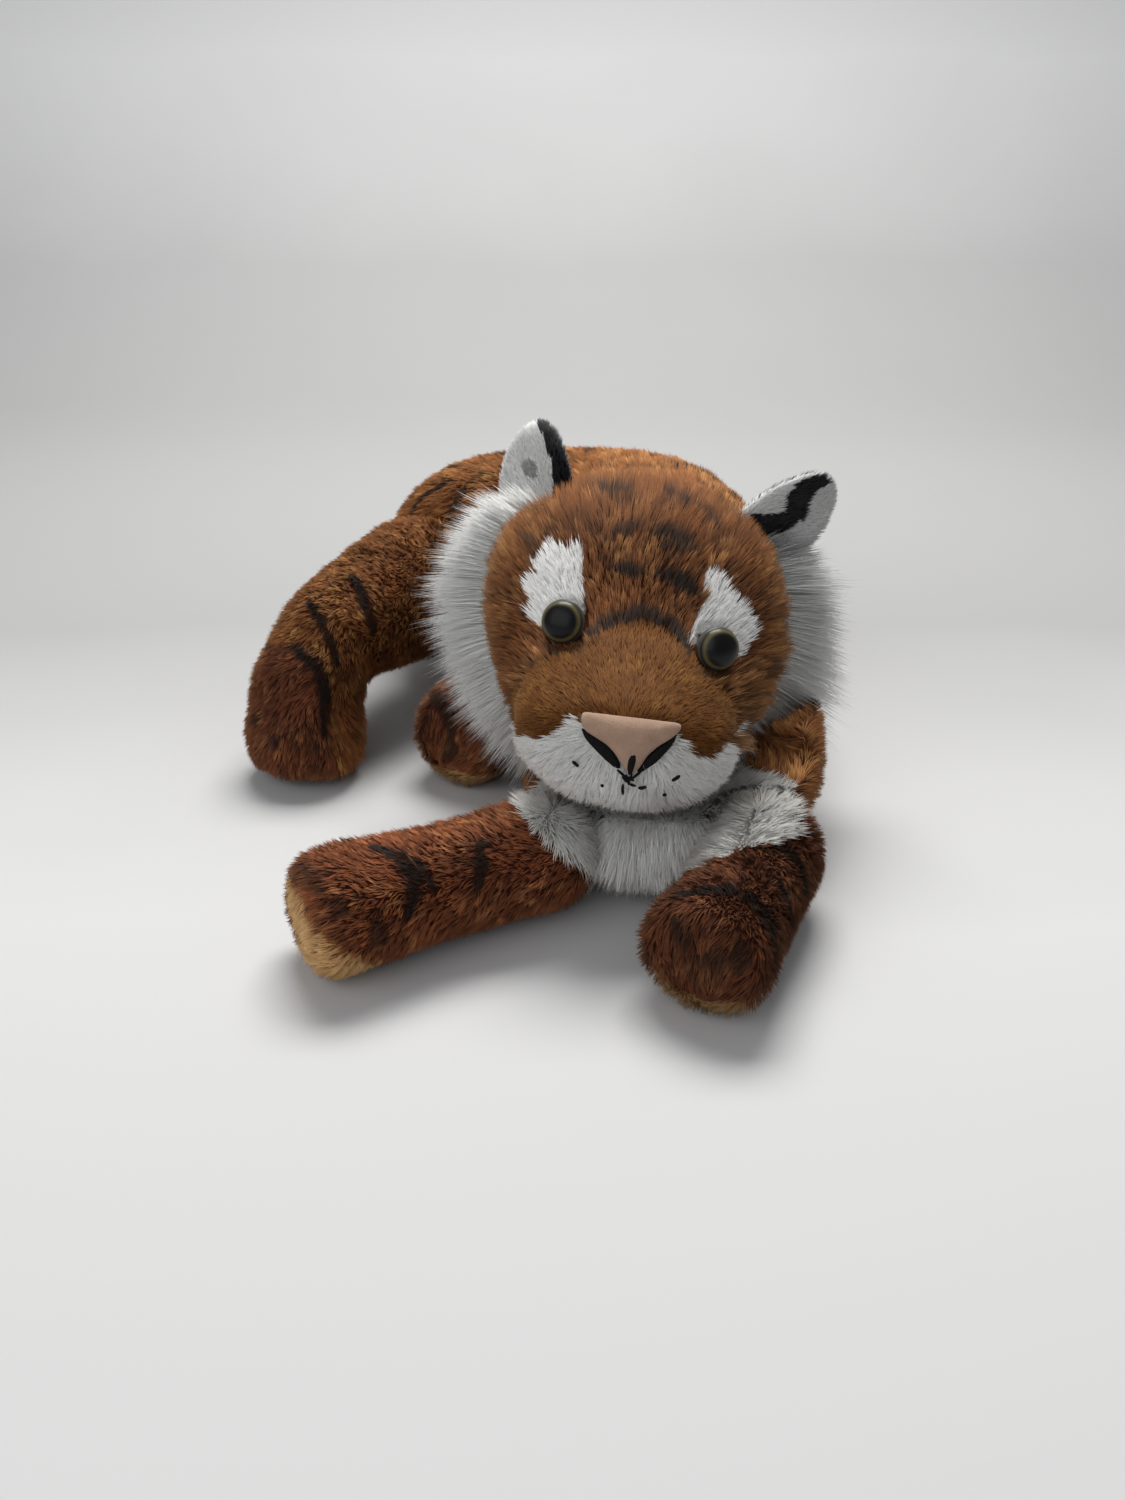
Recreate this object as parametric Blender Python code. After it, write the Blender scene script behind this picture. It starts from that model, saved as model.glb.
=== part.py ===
# Plush tiger lying on its chest, with its hindquarters curled round to its right.
# Lengths are in metres and +Z is up. The face looks towards -Y, and the tiger's own left is +X.
# The origin is on the table, under the chest. Each cover is a thin shell of sewn pile fabric,
# each filling is the stuffing inside it, and each limb ends in a ball that turns in a socket.
import math
from collections import Counter

import bmesh
import bpy
from mathutils import Matrix, Vector
from mathutils.bvhtree import BVHTree

mm = 0.001

# Fabric, seams and the table
fabric = 2 * mm
seam_gap = 0.3 * mm
turning_gap = 0.4 * mm
table_cut = 0.5 * mm
pile_lift = 0.7 * mm

# Trunk: a straight front part, then an arc towards the tiger's right
trunk_width = 136 * mm
trunk_height = 140 * mm
chest_lead = 46 * mm
back_run = 168 * mm
back_drift = 12 * mm
curl_radius = 66 * mm
curl_degrees = 165
chest_cap = 34 * mm
rump_cap = 60 * mm
well_core = 2 * mm

# Head: its own axes are turned to the world by these angles
head_width = 134 * mm
head_height = 118 * mm
head_depth = 174 * mm
snout_reach = 110 * mm
pivot_ahead = 8 * mm
head_back = 60 * mm
head_rise = 104 * mm
head_shift = -6 * mm
head_pitch_degrees = 13
head_roll_degrees = 10

# Limbs, each a ball at the seam and a tube that ends in a blunt paw
foreleg_ball = 26.5 * mm
foreleg_radius = 26.5 * mm
foreleg_right_length = 110 * mm
foreleg_left_length = 92 * mm
shoulder_out = 48 * mm
shoulder_ahead = 35 * mm
shoulder_height = 27 * mm
thigh_ball = 41 * mm
thigh_radius = 38 * mm
thigh_length = 142 * mm
hip_ahead = 14 * mm
hip_height = 70 * mm
lower_ball = 29 * mm
lower_radius = 27 * mm
lower_length = 77 * mm
lower_hip_out = 71 * mm
tail_ball = 15.5 * mm
tail_radius = 14 * mm
tail_length = 205 * mm
tail_out = 54 * mm
tail_height = 44 * mm
paw_round = 13 * mm

# Small pieces of the face
eye_radius = 9 * mm
eye_rise = 6.5 * mm
eye_flange = 1.2 * mm
eye_spacing = 65 * mm
eye_level = -4 * mm
shank_radius = 2.4 * mm
shank_length = 13 * mm
washer_radius = 6.5 * mm
washer_thickness = 1.8 * mm
washer_depth = 4.5 * mm
seat_reach = 8 * mm
running_fit = 0.25 * mm
nose_width = 41 * mm
nose_height = 24 * mm
nose_level = -38 * mm
velour = 1.4 * mm
thread = 1.1 * mm
brow_width = 24 * mm
brow_height = 33 * mm
brow_out = 37 * mm
brow_level = 11 * mm
brow_pile = 2 * mm
mouth_width = 44 * mm
mouth_height = 27 * mm
mouth_level = -53.5 * mm

# Ears and cheek ruffs
ear_barrel = 6 * mm
ear_half_width = 18 * mm
ear_height = 36 * mm
ear_cup = 5 * mm
ear_sink = 1.5 * mm
ruff_length = 25 * mm
ruff_thickness = 15 * mm
ruff_set_back = 2 * mm
ruff_lead = 22 * mm
cutter_overrun = 60 * mm


def material(name, colour, roughness, metallic=0.0):
    made = bpy.data.materials.new(name)
    made.use_nodes = True
    shader = made.node_tree.nodes["Principled BSDF"]
    shader.inputs["Base Color"].default_value = (*colour, 1.0)
    shader.inputs["Roughness"].default_value = roughness
    shader.inputs["Metallic"].default_value = metallic
    return made


def make_object(name, points, faces, finish):
    mesh = bpy.data.meshes.new(name)
    mesh.from_pydata([tuple(p) for p in points], [], faces)
    mesh.validate()
    built = bmesh.new()
    built.from_mesh(mesh)
    bmesh.ops.recalc_face_normals(built, faces=built.faces)
    if built.calc_volume(signed=True) < 0:
        bmesh.ops.reverse_faces(built, faces=built.faces)
    built.to_mesh(mesh)
    built.free()
    mesh.shade_smooth()
    mesh.set_sharp_from_angle(angle=math.radians(50))
    made = bpy.data.objects.new(name, mesh)
    bpy.context.scene.collection.objects.link(made)
    if finish:
        mesh.materials.append(finish)
    else:
        made.hide_render = True
        made.display_type = "WIRE"
    return made


def smooth_row(table, place):
    # Reads a table of rows (share, value, ...) at any share, with smooth steps between the rows
    place = min(max(place, table[0][0]), table[-1][0])
    last = len(table) - 1
    k = max(i for i in range(last) if table[i][0] <= place)
    low, high = table[k], table[k + 1]
    before, after = table[max(k - 1, 0)], table[min(k + 2, last)]
    span = high[0] - low[0]
    t = (place - low[0]) / span
    values = []
    for c in range(1, len(low)):
        start = (high[c] - before[c]) / (high[0] - before[0]) * span
        end = (after[c] - low[c]) / (after[0] - low[0]) * span
        values.append(
            (2 * t**3 - 3 * t**2 + 1) * low[c] + (t**3 - 2 * t**2 + t) * start
            + (3 * t**2 - 2 * t**3) * high[c] + (t**3 - t**2) * end
        )
    return values


def round_end(distance, reach, bluntness=2.0):
    # How far a section has opened at this distance from a rounded end
    share = min(max(distance / reach, 0), 1)
    return (1 - (1 - share) ** bluntness) ** (1 / bluntness)


def ring(centre, side, up, half_width, half_height, count, squareness=1.0):
    points = []
    for i in range(count):
        angle = (i + 0.5) * math.tau / count
        c, s = math.cos(angle), math.sin(angle)
        across = math.copysign(abs(c) ** squareness, c) * half_width
        rise = math.copysign(abs(s) ** squareness, s) * half_height
        points.append(centre + side * across + up * rise)
    return points


def split(corners):
    # Cuts a quad along one diagonal, so that a panel and the filling under it bend alike
    return [corners] if len(corners) == 3 else [corners[:3], (corners[0], *corners[2:])]


class Skin:
    # A closed surface of rings between two end points. Panels and fillings are cut from it.
    def __init__(self, rings, on_table=True):
        self.points, self.faces, self.count = [], {}, max(len(r) for r in rings)
        rows = []
        for row in rings:
            rows.append(range(len(self.points), len(self.points) + len(row)))
            self.points += [Vector((p.x, p.y, max(p.z, 0))) if on_table else Vector(p) for p in row]
        for r, (low, high) in enumerate(zip(rows, rows[1:])):
            for i in range(self.count):
                j = (i + 1) % self.count
                if len(low) == 1:
                    self.faces[r, i] = (low[0], high[j], high[i])
                elif len(high) == 1:
                    self.faces[r, i] = (low[i], low[j], high[0])
                else:
                    self.faces[r, i] = (low[i], low[j], high[j], high[i])
        self.normals = self.outward_normals()

    def outward_normals(self):
        built = bmesh.new()
        verts = [built.verts.new(p) for p in self.points]
        for corners in self.faces.values():
            built.faces.new([verts[c] for c in corners])
        bmesh.ops.recalc_face_normals(built, faces=built.faces)
        if built.calc_volume(signed=True) < 0:
            bmesh.ops.reverse_faces(built, faces=built.faces)
        built.normal_update()
        normals = [v.normal.copy() for v in verts]
        built.free()
        return normals

    def panel(self, name, wanted, finish, wall=fabric):
        # A sewn panel: the wanted faces, drawn in by half a seam gap and thickened inwards
        faces = [corners for key, corners in self.faces.items() if wanted(*key)]
        edges = Counter()
        around = {}
        for corners in faces:
            middle = sum((self.points[c] for c in corners), Vector()) / len(corners)
            for a, b in zip(corners, corners[1:] + corners[:1]):
                edges[a, b] += 1
                around.setdefault(a, []).append(middle)
        rim = [(a, b) for a, b in edges if (b, a) not in edges]
        on_rim = {a for a, _ in rim} | {b for _, b in rim}
        used = sorted(around)
        place = {v: k for k, v in enumerate(used)}
        outer = []
        for v in used:
            p = self.points[v].copy()
            if v in on_rim:
                middle = sum(around[v], Vector()) / len(around[v])
                p += (middle - p).normalized() * seam_gap
            outer.append(p)
        inner = [p - self.normals[v] * wall for p, v in zip(outer, used)]
        below = len(used)
        halves = [half for corners in faces for half in split(corners)]
        made = [tuple(place[c] for c in corners) for corners in halves]
        made += [tuple(place[c] + below for c in reversed(corners)) for corners in halves]
        made += [(place[b], place[a], place[a] + below, place[b] + below) for a, b in rim]
        return make_object(name, outer + inner, made, finish)

    def filling(self, name, finish, depth=fabric + seam_gap):
        # The stuffing: the whole surface, moved inwards (or outwards for a cutter)
        points = [p - n * depth for p, n in zip(self.points, self.normals)]
        return make_object(name, points, [half for f in self.faces.values() for half in split(f)], finish)


def cut(piece, *cutters):
    for cutter in cutters:
        step = piece.modifiers.new("cut by " + cutter.name, "BOOLEAN")
        step.object = cutter
        step.operation = "DIFFERENCE"
        step.solver = "EXACT"


def ball_cutter(name, centre, radius, around=20):
    # A socket's cutter, drawn round the ball so that no facet reaches the ball
    built = bmesh.new()
    grown = (radius + turning_gap) / math.cos(math.pi / around) ** 2
    bmesh.ops.create_uvsphere(built, u_segments=around, v_segments=around // 2, radius=grown)
    points = [centre + v.co for v in built.verts]
    faces = [tuple(v.index for v in f.verts) for f in built.faces]
    built.free()
    return make_object(name, points, faces, None)


def rod(name, start, direction, profile, around, finish):
    # A turned piece: a profile of (distance along, radius) rows round an axis
    axis = direction.normalized()
    side = axis.orthogonal().normalized()
    up = axis.cross(side)
    points, faces = [], []
    for along, radius in profile:
        points += ring(start + axis * along, side, up, radius, radius, around)
    rows = len(profile)
    for r in range(rows - 1):
        for i in range(around):
            j = (i + 1) % around
            faces.append((r * around + i, r * around + j, (r + 1) * around + j, (r + 1) * around + i))
    faces.append(tuple(range(around)))
    faces.append(tuple(range((rows - 1) * around, rows * around)))
    return make_object(name, points, faces, finish)


def hang(group, place, axis):
    # An empty on the joint's axis carries the group's pieces. Its own Z lies along the axis.
    holder = bpy.data.objects.new(group + "_joint", None)
    holder.matrix_world = Matrix.Translation(place) @ axis.to_track_quat("Z", "Y").to_matrix().to_4x4()
    bpy.context.scene.collection.objects.link(holder)
    home = holder.matrix_basis.inverted()
    for piece in bpy.context.scene.objects:
        wanted = piece.name.startswith(joint_groups[group])
        if piece.type == "MESH" and not piece.hide_render and piece.parent is None and wanted:
            piece.parent = holder
            piece.matrix_parent_inverse = home


joint_groups = {
    "head": ("head_", "snout_", "muzzle_", "nose_", "mouth_", "brow_", "eye_", "cheek_"),
    "ear_left": ("ear_left_",), "ear_right": ("ear_right_",), "tail": ("tail_",),
    "foreleg_left": ("foreleg_left_",), "foreleg_right": ("foreleg_right_",),
    "hind_leg_left": ("hind_leg_left_",), "hind_leg_right": ("hind_leg_right_",),
}


# Trunk
# Rows: share of the spine, width, height, height of the middle, shift to the tiger's left, as
# shares of the trunk's sizes
trunk_shares = [
    (0.00, 0.78, 0.42, 0.208, 0.015),
    (0.06, 0.86, 0.45, 0.222, 0.02),
    (0.13, 1.00, 0.54, 0.268, 0.05),
    (0.20, 1.06, 0.70, 0.350, 0.06),
    (0.30, 1.02, 0.86, 0.430, 0.03),
    (0.42, 0.99, 0.96, 0.480, 0.01),
    (0.60, 0.96, 1.00, 0.500, 0.0),
    (0.75, 0.93, 0.96, 0.480, 0.0),
    (1.00, 0.92, 0.92, 0.460, 0.0),
]
trunk_stations_shares = [
    0.0, 0.012, 0.035, 0.065, 0.10, 0.14, 0.18, 0.23, 0.29, 0.35, 0.41, 0.47, 0.53,
    0.58, 0.63, 0.68, 0.73, 0.78, 0.83, 0.88, 0.93, 0.97, 0.992, 1.0,
]
trunk_columns = 24
trunk_squareness = 0.90
# The bib's rings from the front, each with the columns that it spans to either side of the lowest one
bib_spans = [12, 12, 12, 12, 5, 4]
belly_columns = range(15, 21)


def trunk_spine(share):
    # The spine's place above the table and its heading
    straight = chest_lead + back_run
    arc = curl_radius * math.radians(curl_degrees)
    along = share * (straight + arc)
    if along <= straight:
        share_back = along / straight
        place = Vector((back_drift * share_back, along - chest_lead, 0))
        heading = Vector((back_drift, straight, 0)).normalized()
        return place, heading
    angle = (along - straight) / curl_radius
    lean = math.atan2(back_drift, straight)
    centre = Vector((back_drift, back_run, 0)) - Vector((math.cos(lean), -math.sin(lean), 0)) * curl_radius
    out = Vector((math.cos(angle - lean), math.sin(angle - lean), 0))
    return centre + out * curl_radius, Vector((-out.y, out.x, 0))


def trunk_section(share):
    straight = chest_lead + back_run
    whole = straight + curl_radius * math.radians(curl_degrees)
    width, height, middle, shift = smooth_row(trunk_shares, share)
    closing = round_end(share * whole, chest_cap, 2.2) * round_end((1 - share) * whole, rump_cap, 2.1)
    place, heading = trunk_spine(share)
    flat = height * trunk_height / 2 * (1 - math.cos(math.pi / trunk_columns) ** trunk_squareness)
    centre = place + Vector((0, 0, middle * trunk_height - table_cut - flat))
    side = Vector((heading.y, -heading.x, 0))
    centre += side * shift * trunk_width
    return centre, side, width * trunk_width / 2 * closing, height * trunk_height / 2 * closing


def beside_trunk(share, out, height):
    # A root that lies this far to the left of the spine, negative for the right
    place, heading = trunk_spine(share)
    return place + Vector((heading.y, -heading.x, 0)) * out + Vector((0, 0, height))


def trunk_skin():
    rings = []
    for share in trunk_stations_shares:
        centre, side, half_width, half_height = trunk_section(share)
        if share in (0.0, 1.0):
            rings.append([centre])
        else:
            rings.append(ring(centre, side, Vector((0, 0, 1)), half_width, half_height, trunk_columns,
                              trunk_squareness))
    return Skin(rings)


# Head
# Rows: share of the head's length from the nose, half width, top, bottom, as shares of its sizes
head_shares = [
    (0.000, 0.13, -0.270, -0.50),
    (0.020, 0.24, -0.235, -0.54),
    (0.060, 0.31, -0.190, -0.59),
    (0.120, 0.345, -0.135, -0.62),
    (0.190, 0.365, -0.065, -0.62),
    (0.270, 0.395, 0.030, -0.60),
    (0.330, 0.435, 0.190, -0.57),
    (0.400, 0.475, 0.350, -0.54),
    (0.500, 0.500, 0.470, -0.49),
    (0.640, 0.505, 0.505, -0.48),
    (0.760, 0.480, 0.490, -0.46),
    (0.880, 0.390, 0.380, -0.39),
    (0.950, 0.270, 0.240, -0.27),
    (1.000, 0.160, 0.060, -0.14),
]
head_stations_shares = [
    0.0, 0.008, 0.035, 0.08, 0.135, 0.19, 0.24, 0.285, 0.33, 0.375, 0.42, 0.47, 0.54, 0.62, 0.70,
    0.78, 0.85, 0.91, 0.955, 0.985, 1.0,
]
head_columns = 28
head_squareness = 0.95
snout_cap_share = 0.03
nape_cap_share = 0.10
head_centre = Vector((head_shift, head_back, head_rise))
head_pivot = Vector((head_shift, head_back - pivot_ahead, head_rise))
head_turned = (Matrix.Rotation(math.radians(-head_pitch_degrees), 3, "X")
               @ Matrix.Rotation(math.radians(head_roll_degrees), 3, "Y"))


def on_world(x, y, z):
    # A point given along the head's own axes, from the head's centre
    return head_centre + head_turned @ Vector((x, y, z))


def head_ring(share, count):
    half_width, top, bottom = smooth_row(head_shares, share)
    closing = round_end(share, snout_cap_share, 2.4) * round_end(1 - share, nape_cap_share, 2.0)
    middle = (top + bottom) / 2 * head_height
    half_height = (top - bottom) / 2 * head_height * closing
    along = share * head_depth - snout_reach
    flat = ring(Vector((0, along, middle)), Vector((1, 0, 0)), Vector((0, 0, 1)),
                half_width * head_width * closing, half_height, count, head_squareness)
    if share in (0.0, 1.0):
        flat = [Vector((0, along, middle))]
    return [on_world(*p) for p in flat]


def head_skin(stations, count):
    return Skin([head_ring(share, count) for share in stations], on_table=False)


def head_samples(first_share):
    return [p for k in range(61) for p in head_ring(first_share + (0.999 - first_share) * k / 60, 72)]


def from_pivot(point):
    return math.hypot(point.x - head_pivot.x, point.y - head_pivot.y)


def turned_well(name, samples, facing, spread, around):
    # The space that these places of the head need as they turn, this far to either side of the
    # way they face: below it a turned floor, above it open
    reach = max(from_pivot(p) for p in samples) + turning_gap
    whole = spread >= math.pi
    core = well_core if whole or name == "snout_sweep" else min(from_pivot(p) for p in samples) - turning_gap
    bins = 8
    step = (reach - core) / bins
    outline = []
    for k in range(bins + 1):
        radius = core + k * step
        near = [p.z for p in samples if abs(from_pivot(p) - radius) <= step]
        outline.append((radius, (min(near) if near else head_rise) - 2 * seam_gap))
    top = head_rise + cutter_overrun
    outline += [(reach, top), (core, top)]
    columns = around if whole else around + 1
    points, faces, size = [], [], len(outline)
    for c in range(columns):
        angle = facing - spread + 2 * spread * c / around
        out = Vector((math.cos(angle), math.sin(angle), 0))
        base = Vector((head_pivot.x, head_pivot.y, 0))
        points += [base + out * radius + Vector((0, 0, z)) for radius, z in outline]
    for c in range(around):
        d = (c + 1) % columns
        for k in range(size - 1 if whole else size):
            m = (k + 1) % size
            faces.append((c * size + k, c * size + m, d * size + m, d * size + k))
    if whole:
        faces.append(tuple(c * size for c in range(columns)))
        faces.append(tuple(c * size + size - 1 for c in range(columns)))
    else:
        faces.append(tuple(range(size)))
        faces.append(tuple(range(around * size, columns * size)))
    return make_object(name, points, faces, None)


snout_sweep_degrees, ruff_sweep_degrees = 60, 34

# Limbs
# Rows: share of the length, width, height, as shares of the limb's radius
foreleg_shares = [(0.0, 1.0, 1.0), (0.3, 0.97, 0.97), (0.6, 0.98, 1.0), (0.82, 1.10, 1.06), (1.0, 1.06, 1.0)]
hind_shares = [(0.0, 1.0, 1.0), (0.2, 0.98, 0.97), (0.42, 0.86, 0.84), (0.6, 0.76, 0.78), (0.8, 0.86, 0.82),
               (1.0, 0.84, 0.74)]
lower_shares = [(0.0, 1.0, 1.0), (0.4, 1.0, 1.0), (0.8, 1.08, 1.08), (1.0, 1.04, 1.04)]
tail_shares = [(0.0, 1.0, 1.0), (0.15, 0.95, 0.95), (0.8, 0.90, 0.90), (1.0, 0.86, 0.86)]
# Rows: share of the length, heading and pitch in degrees
foreleg_right_turn_degrees = [(0, 207, 0), (1, 209, 0)]
foreleg_left_turn_degrees = [(0, 250, 0), (1, 238, 0)]
hind_right_turn_degrees = [(0, 240, 2), (0.45, 239, 0), (0.65, 242, -45), (0.85, 252, -80), (1, 255, -82)]
hind_left_turn_degrees = [(0, 241, 0), (1, 246, 0)]
tail_turn_degrees = [(0, 110, -24), (0.2, 66, -20), (0.45, 25, -2), (0.6, 5, 0), (1, -48, 0)]
lower_hip_share, tail_share = 0.435, 0.93
level_sole_share = 0.5
lifting_limbs = ("foreleg_right", "foreleg_left", "hind_leg_right")
# Ranges in degrees: the lifting limbs rise, the others swing level
limb_range_degrees = {"foreleg_right": (0, 15), "foreleg_left": (0, 10), "hind_leg_right": (0, 10),
               "hind_leg_left": (-6, 6), "tail": (0, 30)}
ball_rings_degrees = (20, 38, 56, 74, 90)
limb_steps_shares = [0.08, 0.22, 0.38, 0.54, 0.70, 0.83, 0.91, 0.96, 0.99]


class Limb:
    # A ball at the root, then a tube along a path given by headings and pitches in degrees
    def __init__(self, root, ball, radius, length, shares, turns, end_height, around, sole_rings, sole_part=1):
        self.root, self.ball, self.radius, self.length = root, ball, radius, length
        self.shares, self.turns, self.around, self.steps = shares, turns, around, limb_steps_shares
        self.sole_rings, self.sole_part = sole_rings, sole_part
        self.places = self.walk(end_height)

    def direction(self, share):
        heading, pitch = (math.radians(v) for v in smooth_row(self.turns, share))
        return Vector((math.cos(pitch) * math.cos(heading), math.cos(pitch) * math.sin(heading), math.sin(pitch)))

    def walk(self, end_height):
        # Walks the path in short steps, then leans it so that its end lies at the given height
        fine = 60
        places = [self.root.copy()]
        for k in range(fine):
            places.append(places[-1] + self.direction((k + 0.5) / fine) * self.length / fine)
        lean = end_height - places[-1].z
        for k, place in enumerate(places):
            place.z += lean * (k / fine) ** 1.5
        return places

    def place(self, share):
        fine = len(self.places) - 1
        k = min(int(share * fine), fine - 1)
        return self.places[k].lerp(self.places[k + 1], share * fine - k)

    def room(self, name, axis, degrees):
        # The space that the tube needs when the limb is turned by this angle, from the ball's centre
        tube = Skin([[self.root]] + self.rings()[len(ball_rings_degrees):], on_table=False)
        made = tube.filling(name, None, -turning_gap)
        turned = Matrix.Rotation(math.radians(degrees), 4, axis)
        made.matrix_world = Matrix.Translation(self.root) @ turned @ Matrix.Translation(-self.root)
        return made

    def rings(self):
        ahead = self.direction(0)
        side, up = self.frame(0)
        rings = [[self.root - ahead * self.ball]]
        for degrees in ball_rings_degrees:
            back, out = math.cos(math.radians(degrees)), math.sin(math.radians(degrees))
            centre = self.root - ahead * self.ball * back
            rings.append(ring(centre, side, up, self.ball * out, self.ball * out, self.around))
        for share in self.steps:
            width, height = smooth_row(self.shares, share)
            closing = round_end((1 - share) * self.length, paw_round, 2.6)
            across = self.radius * width * closing
            rise = self.radius * height * closing
            along = share * self.length
            globe = math.sqrt(max(self.ball**2 - along**2, 0))
            side, up = self.frame(share)
            rings.append(ring(self.place(share), side, up, max(across, globe), max(rise, globe), self.around))
        return rings + [[self.place(1)]]

    def frame(self, share):
        ahead = self.direction(share)
        side = ahead.cross(Vector((0, 0, 1))).normalized()
        return side, side.cross(ahead)


def build_limb(name, limb, cover_finish, sole_finish, stuffing):
    # A cover that is open at the seam, its sole panel and its stuffing. The sole is the paw's end,
    # or its lower half where the limb lies level. Returns the cutters of the socket: the ball's
    # seat and the limb's own room over its range.
    skin = Skin(limb.rings())
    opening = 2
    last = len(limb.steps) + len(ball_rings_degrees)

    def is_sole(r, i):
        return r > last - limb.sole_rings and i >= limb.around * (1 - limb.sole_part)

    skin.panel(name + "_cover", lambda r, i: r >= opening and not is_sole(r, i), cover_finish)
    if limb.sole_rings:
        skin.panel(name + "_sole", is_sole, sole_finish)
    skin.filling(name + "_stuffing", stuffing)
    up = Vector((0, 0, 1))
    axis = limb.direction(0).cross(up).normalized() if name in lifting_limbs else up
    hang(name, limb.root, axis)
    cutters = [ball_cutter(name + "_socket", limb.root, limb.ball)]
    low, high = limb_range_degrees[name]
    steps = math.ceil((high - low) / 15)
    for k in range(steps + 1):
        cutters.append(limb.room(f"{name}_room_{k}", axis, low + (high - low) * k / steps))
    return cutters


def build_trunk(finishes, sockets):
    skin = trunk_skin()

    def is_bib(r, i):
        from_lowest = abs((i + 0.5 - trunk_columns / 4) % trunk_columns - trunk_columns / 2)
        return r < len(bib_spans) and from_lowest < bib_spans[r]

    def is_belly(r, i):
        return len(bib_spans) <= r < len(trunk_stations_shares) - 4 and i in belly_columns

    pieces = [
        skin.panel("chest_bib", is_bib, finishes["white pile"]),
        skin.panel("belly_panel", is_belly, finishes["white pile"]),
        skin.panel("body_cover", lambda r, i: not is_bib(r, i) and not is_belly(r, i), finishes["rust pile"]),
        skin.filling("body_stuffing", finishes["stuffing"]),
    ]
    for piece in pieces:
        cut(piece, *sockets)


def surface_hit(tree, start, direction):
    # The point of a surface that is met along this direction, and its outward direction
    point, normal, _, _ = tree.ray_cast(start, direction)
    return point, normal if normal.dot(direction) < 0 else -normal


steepest_share = 0.4


def face_hit(tree, x, z):
    return surface_hit(tree, on_world(x, -snout_reach - cutter_overrun, z), head_turned @ Vector((0, 1, 0)))


def applique(name, tree, middle, outline, rings, thick, finish):
    # A patch sewn on the face: an outline about its middle, laid on the head's surface
    middle_x, middle_z = middle
    forward = head_turned @ Vector((0, -1, 0))
    tops, bottoms = [], []
    for k in range(rings + 1):
        share = k / rings
        row = outline if k else outline[:1]
        for x, z in row:
            point, normal = face_hit(tree, middle_x + x * share, middle_z + z * share)
            steep = max(normal.dot(forward), steepest_share)
            tops.append(point + forward * (pile_lift + thick) / steep)
            bottoms.append(point + forward * pile_lift / steep)
    count, faces = len(outline), []
    below = len(tops)

    def index(k, i):
        return 0 if k == 0 else 1 + (k - 1) * count + i % count

    for i in range(count):
        faces.append((0, index(1, i), index(1, i + 1)))
        faces.append((below, below + index(1, i + 1), below + index(1, i)))
        for k in range(1, rings):
            corners = (index(k, i), index(k + 1, i), index(k + 1, i + 1), index(k, i + 1))
            faces.append(corners)
            faces.append(tuple(below + c for c in reversed(corners)))
        a, b = index(rings, i), index(rings, i + 1)
        faces.append((a, a + below, b + below, b))
    return make_object(name, tops + bottoms, faces, finish)


def build_eye(side, tree, finishes):
    # A domed plastic eye, its shank and the washer behind the cover. It lies in a flat seat.
    name = "left" if side > 0 else "right"
    around = [face_hit(tree, side * eye_spacing / 2 + eye_radius * math.cos(turn),
                       eye_level + eye_radius * math.sin(turn))[0]
              for turn in (k * math.tau / 8 for k in range(8))]
    out, ahead, rise = eye_facing_shares
    outward = (head_turned @ Vector((side * out, -ahead, rise))).normalized()
    base = sum(around, Vector()) / len(around) + outward * pile_lift
    profile = [(-shank_length, shank_radius), (-running_fit, shank_radius), (0, eye_radius)]
    profile += [(eye_flange + (eye_rise - eye_flange) * a, eye_radius * r) for a, r in eye_dome_shares]
    rod("eye_" + name, base, outward, profile, 18, finishes["eye"])
    hub = base - outward * washer_depth
    bore = shank_radius + running_fit
    washer = rod("eye_washer_" + name, hub, -outward, [(0, washer_radius), (washer_thickness, washer_radius)],
                 14, finishes["nylon"])
    wide = eye_radius + 2 * running_fit
    seat = rod("eye_seat_" + name, base, -outward,
               [(-seat_reach, wide), (running_fit, wide), (running_fit, bore), (shank_length + eye_flange, bore)],
               18, None)
    pocket = rod("washer_pocket_" + name, hub + outward * seam_gap, -outward,
                 [(0, washer_radius + seam_gap), (washer_thickness + 2 * seam_gap, washer_radius + seam_gap)],
                 14, None)
    hole = rod("washer_hole_" + name, base, -outward, [(running_fit, bore), (shank_length, bore)], 18, None)
    cut(washer, hole)
    return seat, pocket


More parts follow.
